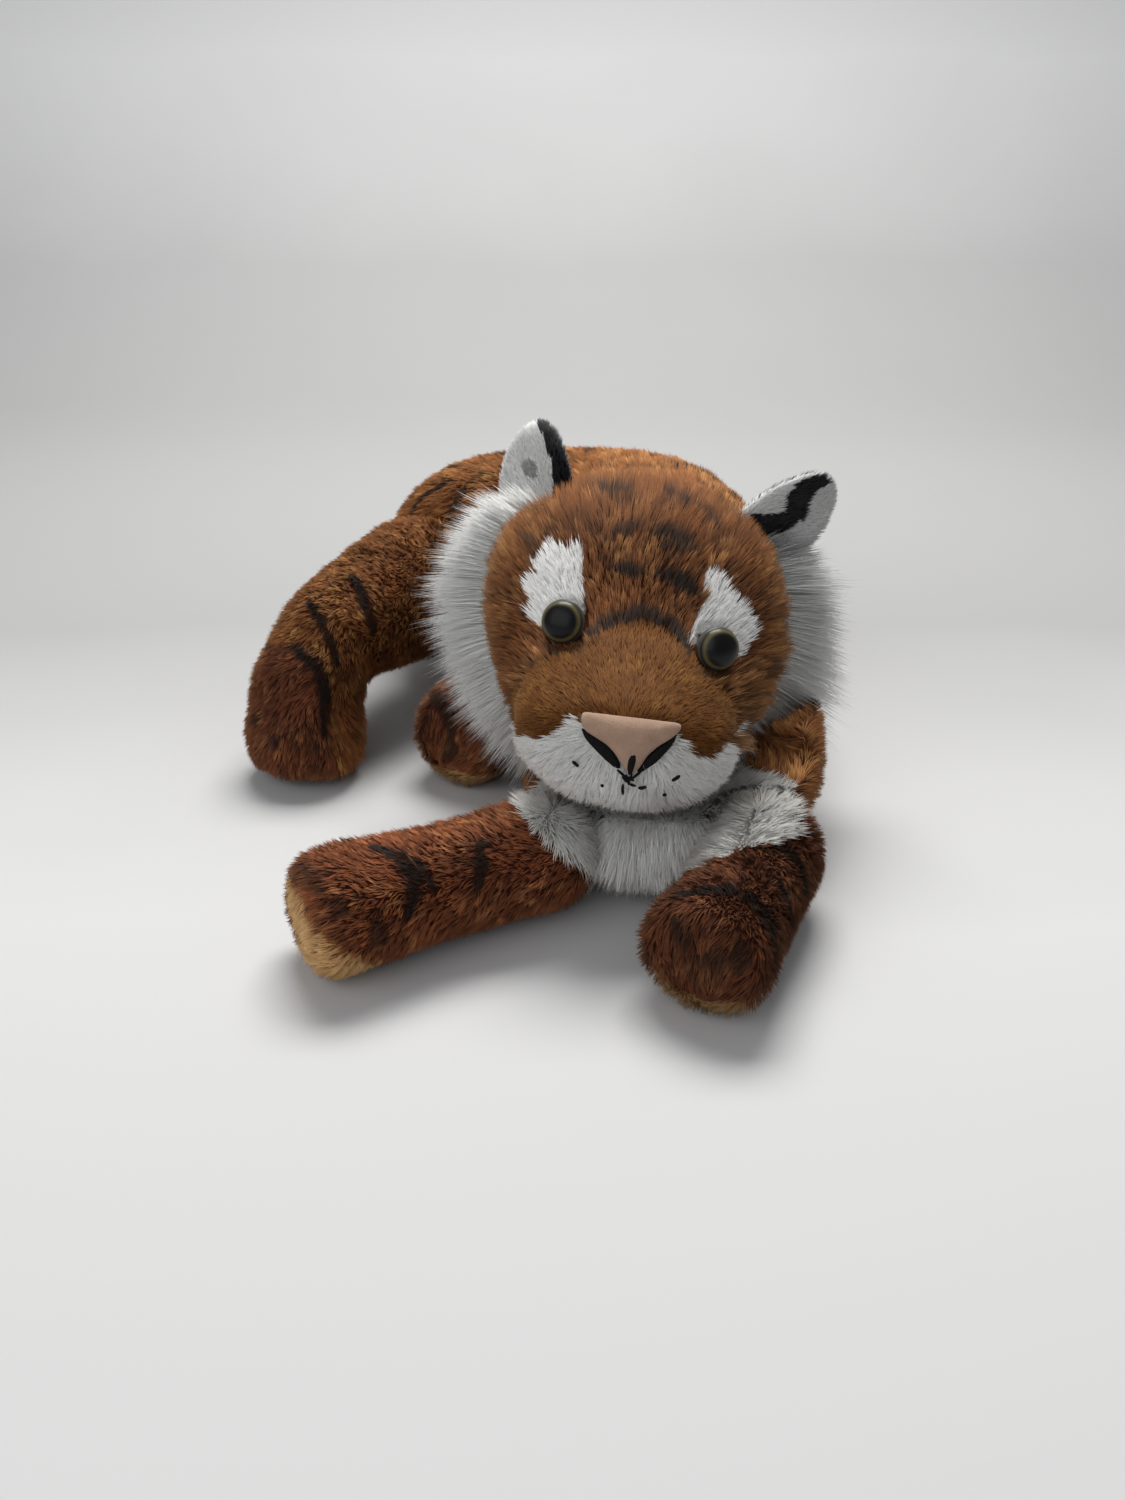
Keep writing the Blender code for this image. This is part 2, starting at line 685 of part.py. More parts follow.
def build_ear(side, head_tree, finishes):
    # A leaf of two panels on a barrel hem, which turns in a groove of the head's cover. The leaf
    # is skewed, because its hem follows the slope of the head while the leaf stands up.
    name = "left" if side > 0 else "right"
    lean, turn = math.radians(ear_lean_degrees[name]), math.radians(ear_turn_degrees[name])
    start = on_world(side * ear_place_shares[0] * head_width, ear_place_shares[1] * head_depth, head_height)
    point, normal = surface_hit(head_tree, start, head_turned @ Vector((0, 0, -1)))
    upright = head_turned @ Vector((side * math.sin(lean), 0, math.cos(lean)))
    along = head_turned @ Vector((math.cos(turn), side * math.sin(turn), 0))
    along = (along - normal * along.dot(normal)).normalized()
    root = point - normal * ear_sink
    up = (upright - along * upright.dot(along)).normalized()
    skew = upright.dot(along) / upright.dot(up)
    front = along.cross(up).normalized()
    for half, sign in (("front", 1), ("back", -1)):
        points, faces = [], []
        for share, thick, wide in ear_shares:
            rise = share * (ear_height if share > 0 else ear_barrel)
            drift, cup = max(rise, 0) * skew, max(share, 0) * ear_cup
            half_width, swell = wide * ear_half_width, thick * ear_barrel
            for k in range(2 * ear_steps - 2):
                outer = k < ear_steps
                angle = math.pi * (k if outer else 2 * ear_steps - 2 - k) / (ear_steps - 1)
                across = math.cos(angle) * half_width
                bow = -cup * (1 - (across / (ear_half_width + ear_cup)) ** 2)
                out = seam_gap / 2
                if outer:
                    out += swell * (0.25 + math.sin(angle) ** 0.7 if 0 < k < ear_steps - 1 else 0.25)
                points.append(root + along * (across + drift) + up * rise + front * (bow + sign * out))
        count, rows = 2 * ear_steps - 2, len(ear_shares)
        for r in range(rows - 1):
            for i in range(count):
                j = (i + 1) % count
                faces.append((r * count + i, r * count + j, (r + 1) * count + j, (r + 1) * count + i))
        faces.append(tuple(range(count)))
        faces.append(tuple(range((rows - 1) * count, rows * count)))
        finish = finishes["white pile"] if half == "front" else finishes["black pile"]
        make_object(f"ear_{name}_{half}", points, faces, finish)
    reach = ear_half_width + 2 * seam_gap
    groove = (ear_groove_share * ear_barrel + turning_gap) / math.cos(math.pi / 20)
    slot = rod("ear_groove_" + name, root - along * reach, along, [(0, groove), (2 * reach, groove)], 20, None)
    hang("ear_" + name, root, along)
    return slot


ear_place_shares = (0.395, 0.035)
ear_lean_degrees = {"left": 45, "right": 18}
ear_turn_degrees = {"left": 30, "right": 38}
ear_steps = 7
ear_groove_share = 1.3
# Rows: share of the ear's height, or below 0 of the barrel, then thickness and width as shares
# of the barrel and of the half width
ear_shares = [(-1.0, 0.30, 1.0), (-0.7, 0.72, 1.0), (-0.35, 0.94, 1.0), (0.0, 0.72, 1.0), (0.14, 0.66, 1.04),
              (0.34, 0.60, 1.05), (0.55, 0.55, 0.95), (0.74, 0.48, 0.76), (0.88, 0.40, 0.52), (0.97, 0.26, 0.24)]


def build_ruff(side, head_form, finishes):
    # A band of long pile that stands out from the cheek, widest at its middle
    name = "left" if side > 0 else "right"
    steps = 11
    count = len(ruff_section_shares)
    points, faces = [], []
    for k in range(steps):
        share = k / (steps - 1)
        angle = math.radians(ruff_from_degrees + (ruff_to_degrees - ruff_from_degrees) * share)
        swell = math.sin(math.pi * (0.08 + 0.84 * share)) ** 0.45
        out = Vector((side * math.cos(angle), 0, math.sin(angle)))
        root_x = math.cos(angle) * head_width * ruff_root_share
        root_z = math.sin(angle) * head_height * ruff_root_share
        reach = head_width * ruff_bury_share + ruff_length * swell
        half = ruff_thickness / 2 * (0.5 + 0.5 * swell)
        for across, along in ruff_section_shares:
            back = ruff_set_back + half * along - ruff_lead * (1 - share) ** 2
            local = Vector((side * root_x, back, root_z)) + out * reach * across
            points.append(on_world(*local))
    for k in range(steps - 1):
        for i in range(count):
            j = (i + 1) % count
            faces.append((k * count + i, k * count + j, (k + 1) * count + j, (k + 1) * count + i))
    faces.append(tuple(range(count)))
    faces.append(tuple(range((steps - 1) * count, steps * count)))
    made = make_object("cheek_ruff_" + name, points, faces, finishes["long pile"])
    cut(made, head_form)
    return points


ruff_from_degrees, ruff_to_degrees = -30, 13
ruff_root_share, ruff_bury_share = 0.40, 0.10
ruff_section_shares = [(0.0, -1.0), (0.5, -1.0), (0.8, -0.75), (1.0, -0.2), (1.0, 0.3), (0.8, 0.85), (0.5, 1.0),
                       (0.0, 1.0)]

# Outlines on the face, along the head's own X and Z, as shares of each patch's width and height
nose_outline_shares = [(-0.50, 0.44), (-0.25, 0.50), (0.0, 0.50), (0.25, 0.48), (0.50, 0.38), (0.42, 0.12),
                       (0.22, -0.18), (0.04, -0.48), (-0.06, -0.50), (-0.26, -0.16), (-0.44, 0.16)]
brow_outline_shares = [(-0.30, 0.42), (0.0, 0.52), (0.38, 0.50), (0.44, 0.10), (0.34, -0.22), (0.02, -0.20),
                       (-0.26, -0.36), (-0.46, -0.40), (-0.40, -0.06), (-0.36, 0.18)]
mouth_outline_shares = [(-0.443, 0.618), (0.0, 0.048), (0.432, 0.648), (0.443, 0.604), (0.036, -0.044),
                        (0.023, -0.30), (-0.023, -0.30), (-0.04, -0.06), (-0.455, 0.54)]
eye_facing_shares = (0.30, 0.93, 0.10)
eye_dome_shares = [(0.0, 1.0), (0.45, 0.93), (0.75, 0.72), (0.93, 0.42), (1.0, 0.10)]


def build_head(finishes):
    skin = head_skin(head_stations_shares, head_columns)
    tree = BVHTree.FromPolygons(skin.points, list(skin.faces.values()))
    snout_spans = [0, 4.6, 4.6, 5.6, 5.6, 3.6]
    neck_rings = (15, 17)

    def is_top(i, half_span):
        return abs(i + 0.5 - head_columns / 4) < half_span

    def is_snout(r, i):
        return r < len(snout_spans) and is_top(i, snout_spans[r])

    def is_muzzle(r, i):
        return r < 5 and not is_snout(r, i) or 5 <= r < 10 and 17 <= i <= 24

    def is_neck(r, i):
        return neck_rings[0] <= r < neck_rings[1] and 18 <= i <= 23

    covers = [
        skin.panel("head_cover", lambda r, i: not (is_snout(r, i) or is_muzzle(r, i) or is_neck(r, i)),
                   finishes["rust pile"]),
        skin.panel("snout_cover", is_snout, finishes["tan pile"]),
        skin.panel("muzzle_cover", is_muzzle, finishes["white pile"]),
    ]
    stuffing = skin.filling("head_stuffing", finishes["stuffing"])
    form = skin.filling("head_form", None, -seam_gap)

    def patch(name, place, outline, rings, thick, finish, *around):
        cut(applique(name, tree, place, outline, rings, thick, finish), form, *around)

    def sized(outline, width, height):
        return [(x * width, z * height) for x, z in outline]

    patch("nose_patch", (0, nose_level), sized(nose_outline_shares, nose_width, nose_height), 4,
          velour, finishes["velour"])
    patch("mouth_stitching", (0, mouth_level), sized(mouth_outline_shares, mouth_width, mouth_height), 5,
          thread, finishes["thread"])
    for side, name in ((1, "left"), (-1, "right")):
        seat, pocket = build_eye(side, tree, finishes)
        patch("brow_patch_" + name, (side * brow_out, brow_level),
              sized(brow_outline_shares, -side * brow_width, brow_height), 4, brow_pile, finishes["white pile"],
              seat)
        slot = build_ear(side, tree, finishes)
        for cover in covers:
            cut(cover, seat, pocket, slot)
        cut(stuffing, seat, pocket, slot)
        ruff = build_ruff(side, form, finishes)
        turned_well("ruff_sweep_" + name, ruff, (1 - side) * math.pi / 2,
                    math.radians(ruff_sweep_degrees), 5)
    hang("head", head_pivot, Vector((0, 0, 1)))


def build():
    for old in list(bpy.data.objects):
        bpy.data.objects.remove(old)
    finishes = {
        "rust pile": material("rust pile", (0.36, 0.12, 0.035), 0.9),
        "tan pile": material("tan pile", (0.50, 0.25, 0.08), 0.9),
        "white pile": material("white pile", (0.80, 0.80, 0.78), 0.9),
        "long pile": material("long white pile", (0.82, 0.83, 0.80), 0.85),
        "black pile": material("black pile", (0.012, 0.012, 0.014), 0.9),
        "velour": material("pink velour", (0.62, 0.40, 0.31), 0.85),
        "thread": material("black thread", (0.015, 0.014, 0.013), 0.6),
        "eye": material("glossy eye plastic", (0.02, 0.018, 0.012), 0.08),
        "nylon": material("nylon washer", (0.75, 0.75, 0.72), 0.5),
        "stuffing": material("polyester stuffing", (0.85, 0.85, 0.83), 0.95),
    }
    build_head(finishes)

    shoulder = Vector((shoulder_out, -shoulder_ahead, shoulder_height))
    rump, rump_heading = trunk_spine(1.0)
    hip = rump + rump_heading * hip_ahead + Vector((0, 0, hip_height))
    lower_hip = beside_trunk(lower_hip_share, -lower_hip_out, lower_ball)
    tail_root = beside_trunk(tail_share, tail_out, tail_height)
    flat_paw = -table_cut
    tail_rest = tail_radius * tail_shares[-1][2] - table_cut
    limbs = {
        "foreleg_right": Limb(shoulder * Vector((-1, 1, 1)), foreleg_ball, foreleg_radius,
                              foreleg_right_length, foreleg_shares, foreleg_right_turn_degrees,
                              foreleg_radius, 16, 5, level_sole_share),
        "foreleg_left": Limb(shoulder, foreleg_ball, foreleg_radius, foreleg_left_length, foreleg_shares,
                             foreleg_left_turn_degrees, foreleg_radius, 16, 5, level_sole_share),
        "hind_leg_right": Limb(hip, thigh_ball, thigh_radius, thigh_length, hind_shares, hind_right_turn_degrees,
                               flat_paw, 16, 3),
        "hind_leg_left": Limb(lower_hip, lower_ball, lower_radius, lower_length, lower_shares,
                              hind_left_turn_degrees, lower_radius, 12, 5, level_sole_share),
        "tail": Limb(tail_root, tail_ball, tail_radius, tail_length, tail_shares, tail_turn_degrees,
                     tail_rest, 8, 0),
    }
    cranium = head_samples(0.42)
    whole_head = head_samples(0.0)
    front = -math.pi / 2
    sockets = [turned_well("head_well", cranium, front, math.pi, 24),
               turned_well("snout_sweep", whole_head, front, math.radians(snout_sweep_degrees), 9)]
    sockets += [bpy.data.objects["ruff_sweep_" + name] for name in ("left", "right")]
    for name, limb in limbs.items():
        sockets += build_limb(name, limb, finishes["rust pile"], finishes["tan pile"], finishes["stuffing"])
    build_trunk(finishes, sockets)


build()
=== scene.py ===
import math

import bpy
import numpy as np
from mathutils import Matrix, Vector
from mathutils.bvhtree import BVHTree
from mathutils.kdtree import KDTree


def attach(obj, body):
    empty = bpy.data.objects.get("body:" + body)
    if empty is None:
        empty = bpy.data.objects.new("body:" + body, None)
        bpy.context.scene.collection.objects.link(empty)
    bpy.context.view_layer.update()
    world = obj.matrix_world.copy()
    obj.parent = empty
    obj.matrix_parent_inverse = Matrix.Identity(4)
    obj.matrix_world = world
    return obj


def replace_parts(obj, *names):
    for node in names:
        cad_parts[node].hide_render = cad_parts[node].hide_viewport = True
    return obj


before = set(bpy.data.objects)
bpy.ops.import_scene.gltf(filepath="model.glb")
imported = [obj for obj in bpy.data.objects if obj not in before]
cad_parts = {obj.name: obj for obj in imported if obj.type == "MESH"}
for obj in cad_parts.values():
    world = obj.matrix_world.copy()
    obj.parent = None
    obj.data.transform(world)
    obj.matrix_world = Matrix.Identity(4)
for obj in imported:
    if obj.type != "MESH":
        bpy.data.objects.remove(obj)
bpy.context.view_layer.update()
mm = 0.001
print("Frame loaded")

# The camera that took the photograph, in metres and degrees. Its lens is given in pixels.
photoCamera = {"place": (-0.0393, -0.5087, 0.318), "tilt": 63, "lens": 1296, "wide": 1125, "high": 1500}

# The head's own axes: X to its left, -Y ahead, Z up, from the middle of the skull
headAxes = {"middle": (-0.006, 0.060, 0.104), "nodUp": 13, "leanLeft": 10}


def headTurn():
    nod = Matrix.Rotation(math.radians(-headAxes["nodUp"]), 3, "X")
    return nod @ Matrix.Rotation(math.radians(headAxes["leanLeft"]), 3, "Y")


def onHead(x, y, z):
    return Vector(headAxes["middle"]) + headTurn() @ Vector((x, y, z)) * mm


def photoRay(x, y):
    # The way from the camera through a pixel of the 1125 x 1500 photograph
    turned = Matrix.Rotation(math.radians(photoCamera["tilt"]), 3, "X")
    across = (x - photoCamera["wide"] / 2) / photoCamera["lens"]
    rise = (photoCamera["high"] / 2 - y) / photoCamera["lens"]
    return (turned @ Vector((across, rise, -1))).normalized()


def photoPixels(points):
    # Where points show in the photograph
    turned = np.array(Matrix.Rotation(math.radians(photoCamera["tilt"]), 3, "X"))
    seen = (points - np.array(photoCamera["place"])) @ turned
    across = photoCamera["wide"] / 2 - seen[:, 0] / seen[:, 2] * photoCamera["lens"]
    down = photoCamera["high"] / 2 + seen[:, 1] / seen[:, 2] * photoCamera["lens"]
    return np.stack([across, down], axis=1)


def insideOutline(pixels, outline):
    # Which pixels lie inside an outline, found by counting the edges that are crossed
    x, y = pixels[:, 0], pixels[:, 1]
    inside = np.zeros(len(pixels), bool)
    for (x1, y1), (x2, y2) in zip(outline, outline[1:] + outline[:1]):
        if y1 != y2:
            inside ^= ((y1 > y) != (y2 > y)) & (x < (x2 - x1) * (y - y1) / (y2 - y1) + x1)
    return inside


def smoothStep(values, low, high):
    share = np.clip((values - low) / (high - low), 0, 1)
    return share * share * (3 - 2 * share)


def waves(points, seed, *rows):
    # The sum of soft noises: the size of each in millimetres, and its strength
    return sum(softNoise(points, size * mm, seed + k) * strength for k, (size, strength) in enumerate(rows))


def unit(vectors):
    return vectors / np.maximum(np.linalg.norm(vectors, axis=-1, keepdims=True), 1e-12)


def softNoise(points, size, seed):
    # Smooth noise from -1 to 1 that changes over about this size
    grid = points / size + seed * 7.13
    cell = np.floor(grid).astype(np.int64)
    part = grid - cell
    part = part * part * (3 - 2 * part)
    total = np.zeros(len(points))
    for corner in range(8):
        step = np.array([corner & 1, corner >> 1 & 1, corner >> 2 & 1])
        at = cell + step
        mixed = at[:, 0] * 73856093 ^ at[:, 1] * 19349663 ^ at[:, 2] * 83492791 ^ seed * 2654435761
        mixed = (mixed & 0xFFFFFFFF) * 1274126177 & 0xFFFFFFFF
        mixed = (mixed ^ mixed >> 15) * 2246822519 & 0xFFFFFFFF
        total += np.prod(np.where(step == 1, part, 1 - part), axis=1) * ((mixed >> 8 & 0xFFFF) / 0xFFFF)
    return total * 2 - 1


class Socket:
    # A shader value that can be used in sums
    def __init__(self, tree, link):
        self.tree, self.link = tree, link

    def sum(self, operation, other, swapped=False):
        inputs = [other, self] if swapped else [self, other]
        return self.tree.node("ShaderNodeMath", {"operation": operation}, {0: inputs[0], 1: inputs[1]})

    def __add__(self, other):
        return self.sum("ADD", other)

    def __radd__(self, other):
        return self.sum("ADD", other, True)

    def __sub__(self, other):
        return self.sum("SUBTRACT", other)

    def __rsub__(self, other):
        return self.sum("SUBTRACT", other, True)

    def __mul__(self, other):
        return self.sum("MULTIPLY", other)

    def __rmul__(self, other):
        return self.sum("MULTIPLY", other, True)


class Finish:
    # A material, and the one way to add nodes to it
    def __init__(self, name, roughness, **fixed):
        self.material = bpy.data.materials.new(name)
        self.material.use_nodes = True
        self.nodes = self.material.node_tree.nodes
        self.shader = self.nodes["Principled BSDF"]
        self.shader.inputs["Roughness"].default_value = roughness
        for socketName, value in fixed.items():
            self.shader.inputs[socketName.replace("_", " ")].default_value = value

    def node(self, kind, settings=None, inputs=None, output=0):
        made = self.nodes.new(kind)
        for key, value in (settings or {}).items():
            if key == "stops":
                self.setStops(made.color_ramp, value)
            else:
                setattr(made, key, value)
        for key, value in (inputs or {}).items():
            self.feed(made.inputs[key], value)
        return Socket(self, made.outputs[output])

    def setStops(self, ramp, stops):
        while len(ramp.elements) < len(stops):
            ramp.elements.new(1)
        for element, (place, colour) in zip(ramp.elements, stops):
            element.position, element.color = place, (*colour, 1)

    def feed(self, socket, value):
        if isinstance(value, Socket):
            self.material.node_tree.links.new(value.link, socket)
        elif hasattr(value, "__len__") and len(value) == 3 and len(socket.default_value) == 4:
            socket.default_value = (*value, 1)
        else:
            socket.default_value = value

    def set(self, socketName, value):
        self.feed(self.shader.inputs[socketName], value)
        return self

    def place(self):
        return self.node("ShaderNodeNewGeometry")

    def noise(self, size, detail=2.0, place=None):
        inputs = {"Vector": place or self.place(), "Scale": 1 / (size * mm), "Detail": detail}
        return self.node("ShaderNodeTexNoise", None, inputs)

    def mix(self, share, low, high, blend="MIX"):
        return self.node("ShaderNodeMix", {"data_type": "RGBA", "blend_type": blend}, {0: share, 6: low, 7: high}, 2)

    def ramp(self, value, stops):
        return self.node("ShaderNodeValToRGB", {"stops": stops}, {"Fac": value})

    def bump(self, height, distance, strength=1.0):
        inputs = {"Height": height, "Distance": distance * mm, "Strength": strength}
        return self.set("Normal", self.node("ShaderNodeBump", None, inputs))


def pileFinish(name, sheen, tint):
    # Fur: each hair brings its own colour, which drifts a little over the coat
    finish = Finish(name, 0.80, Sheen_Weight=sheen, Sheen_Roughness=0.5, Sheen_Tint=(*tint, 1), Specular_IOR_Level=0.25)
    coat = finish.node("ShaderNodeAttribute", {"attribute_name": "coat"})
    drift = finish.ramp(finish.noise(14, 3), [(0.3, (0.86, 0.85, 0.84)), (0.7, (1.0, 1.0, 1.0))])
    return finish.set("Base Color", finish.mix(1.0, coat, drift, "MULTIPLY"))


def backingFinish():
    # The knitted backing that the pile grows from, in the colour of the hairs' roots
    finish = Finish("knittedBacking", 0.95, Specular_IOR_Level=0.1)
    coat = finish.node("ShaderNodeAttribute", {"attribute_name": "coat"})
    knit = finish.noise(0.9, 1)
    loops = finish.ramp(knit, [(0.3, (0.7, 0.7, 0.7)), (0.7, (1, 1, 1))])
    finish.set("Base Color", finish.mix(1.0, coat, loops, "MULTIPLY"))
    return finish.bump(knit, 0.3)


finishes = {
    "coat": pileFinish("tigerPile", 0.10, (1.0, 0.65, 0.35)),
    "white": pileFinish("whitePile", 0.30, (1.0, 1.0, 1.0)),
    "backing": backingFinish(),
}

# Each pile's hair: length, lean away from upright, how deep the backing lies under the CAD skin, width at
# the root, clump size and pull, hairs to a square millimetre, colours at root and tip, the colour of its
# painted highlights, where the brushed pile would catch the light, and how strong they are, and how much its
# tone varies. Lengths are in millimetres.
pileColumns = ("length", "lean", "depth", "width", "clump", "pull", "density", "root", "tip", "paintedHighlight", "paintedHighlightShare",
               "vary")
piles = {
    "rust": (6.4, 50, 3.9, 0.74, 3.4, 0.40, 1.15,
             (0.090, 0.028, 0.009), (0.360, 0.132, 0.036), (0.640, 0.345, 0.115), 0.62, 0.36),
    "crown": (6.6, 42, 3.9, 0.70, 3.2, 0.42, 1.3,
             (0.060, 0.020, 0.007), (0.235, 0.082, 0.022), (0.450, 0.225, 0.075), 0.70, 0.38),
    "russet": (6.0, 50, 3.6, 0.74, 3.4, 0.40, 1.15,
             (0.055, 0.016, 0.008), (0.260, 0.080, 0.028), (0.480, 0.210, 0.080), 0.55, 0.38),
    "tan": (3.4, 52, 2.2, 0.62, 2.6, 0.20, 1.9,
             (0.100, 0.034, 0.007), (0.195, 0.070, 0.009), (0.360, 0.170, 0.036), 0.55, 0.14),
    "cheek": (13.0, 42, 3.9, 0.72, 5.0, 0.55, 1.4,
             (0.080, 0.034, 0.012), (0.280, 0.115, 0.036), (0.500, 0.270, 0.100), 0.6, 0.55),
    "sole": (5.0, 50, 3.4, 0.70, 3.2, 0.3, 1.2,
             (0.22, 0.105, 0.036), (0.70, 0.43, 0.19), (0.85, 0.60, 0.30), 0.4, 0.16),
    "white": (6.4, 50, 3.0, 0.62, 4.0, 0.4, 1.9,
             (0.720, 0.720, 0.690), (0.950, 0.950, 0.930), (0.95, 0.95, 0.94), 0.3, 0.04),
    "brow": (5.6, 44, 3.0, 0.62, 3.2, 0.35, 2.2,
             (0.66, 0.66, 0.64), (0.94, 0.94, 0.93), (0.95, 0.95, 0.95), 0.3, 0.04),
    # The bib is white fur; its greyer colours, root and tip, are painted shade under the head
    "bib": (10.0, 52, 5.5, 0.64, 4.5, 0.30, 1.7,
             (0.42, 0.42, 0.39), (0.82, 0.82, 0.79), (0.88, 0.88, 0.86), 0.3, 0.05),
    "earFront": (2.8, 46, 1.2, 0.52, 2.6, 0.25, 2.8,
             (0.62, 0.62, 0.60), (0.92, 0.93, 0.92), (0.95, 0.95, 0.95), 0.2, 0.03),
    # Grey pile that paints the shade in the right ear's dimple
    "earDimpleShade": (2.2, 40, 1.2, 0.52, 2.6, 0.25, 2.8,
             (0.24, 0.24, 0.24), (0.46, 0.46, 0.46), (0.55, 0.55, 0.55), 0.3, 0.08),
    "earBack": (2.8, 46, 1.2, 0.52, 2.6, 0.25, 2.8,
             (0.003, 0.003, 0.004), (0.012, 0.012, 0.015), (0.04, 0.04, 0.05), 0.3, 0.30),
}
pileNames = list(piles)
pileTable = {key: np.array([row[k] for row in piles.values()]) for k, key in enumerate(pileColumns)}
# The colour of the print's stripes, also used for the painted seam shadow and the painted shade under the eyes
stripeAndShadeColour = (0.020, 0.012, 0.009)

bibOutline = [(505, 776), (514, 781), (520, 808), (540, 835), (557, 849), (575, 861), (592, 869), (608, 875),
              (630, 880), (650, 883), (667, 879), (681, 872), (707, 860), (730, 849), (750, 843), (770, 839),
              (794, 833), (794, 700), (540, 700)]



def coatOf(zones, stuffing, **other):
    # The CAD nodes that a body's skin is drawn over, the pile on each cover, and what the coats share
    return {"form": [*zones, *stuffing], "zones": zones, "drop": 0.0, "voxel": 2.6, "finish": "coat", "padding": 0.8,
            "parts": 1, "slot": "rust_pile", **other}


def legCoat(leg, pile, **other):
    return coatOf({leg + "_cover": pile, leg + "_sole": "sole"}, [leg + "_stuffing"],
                  **{"drop": 0.1, "soleTop": 12, **other})


def earCoat(ear, **other):
    return coatOf({ear + "_front": "earFront", ear + "_back": "earBack"}, [], voxel=1.4, finish="white", padding=0.3,
                  slot="white_pile", **other)


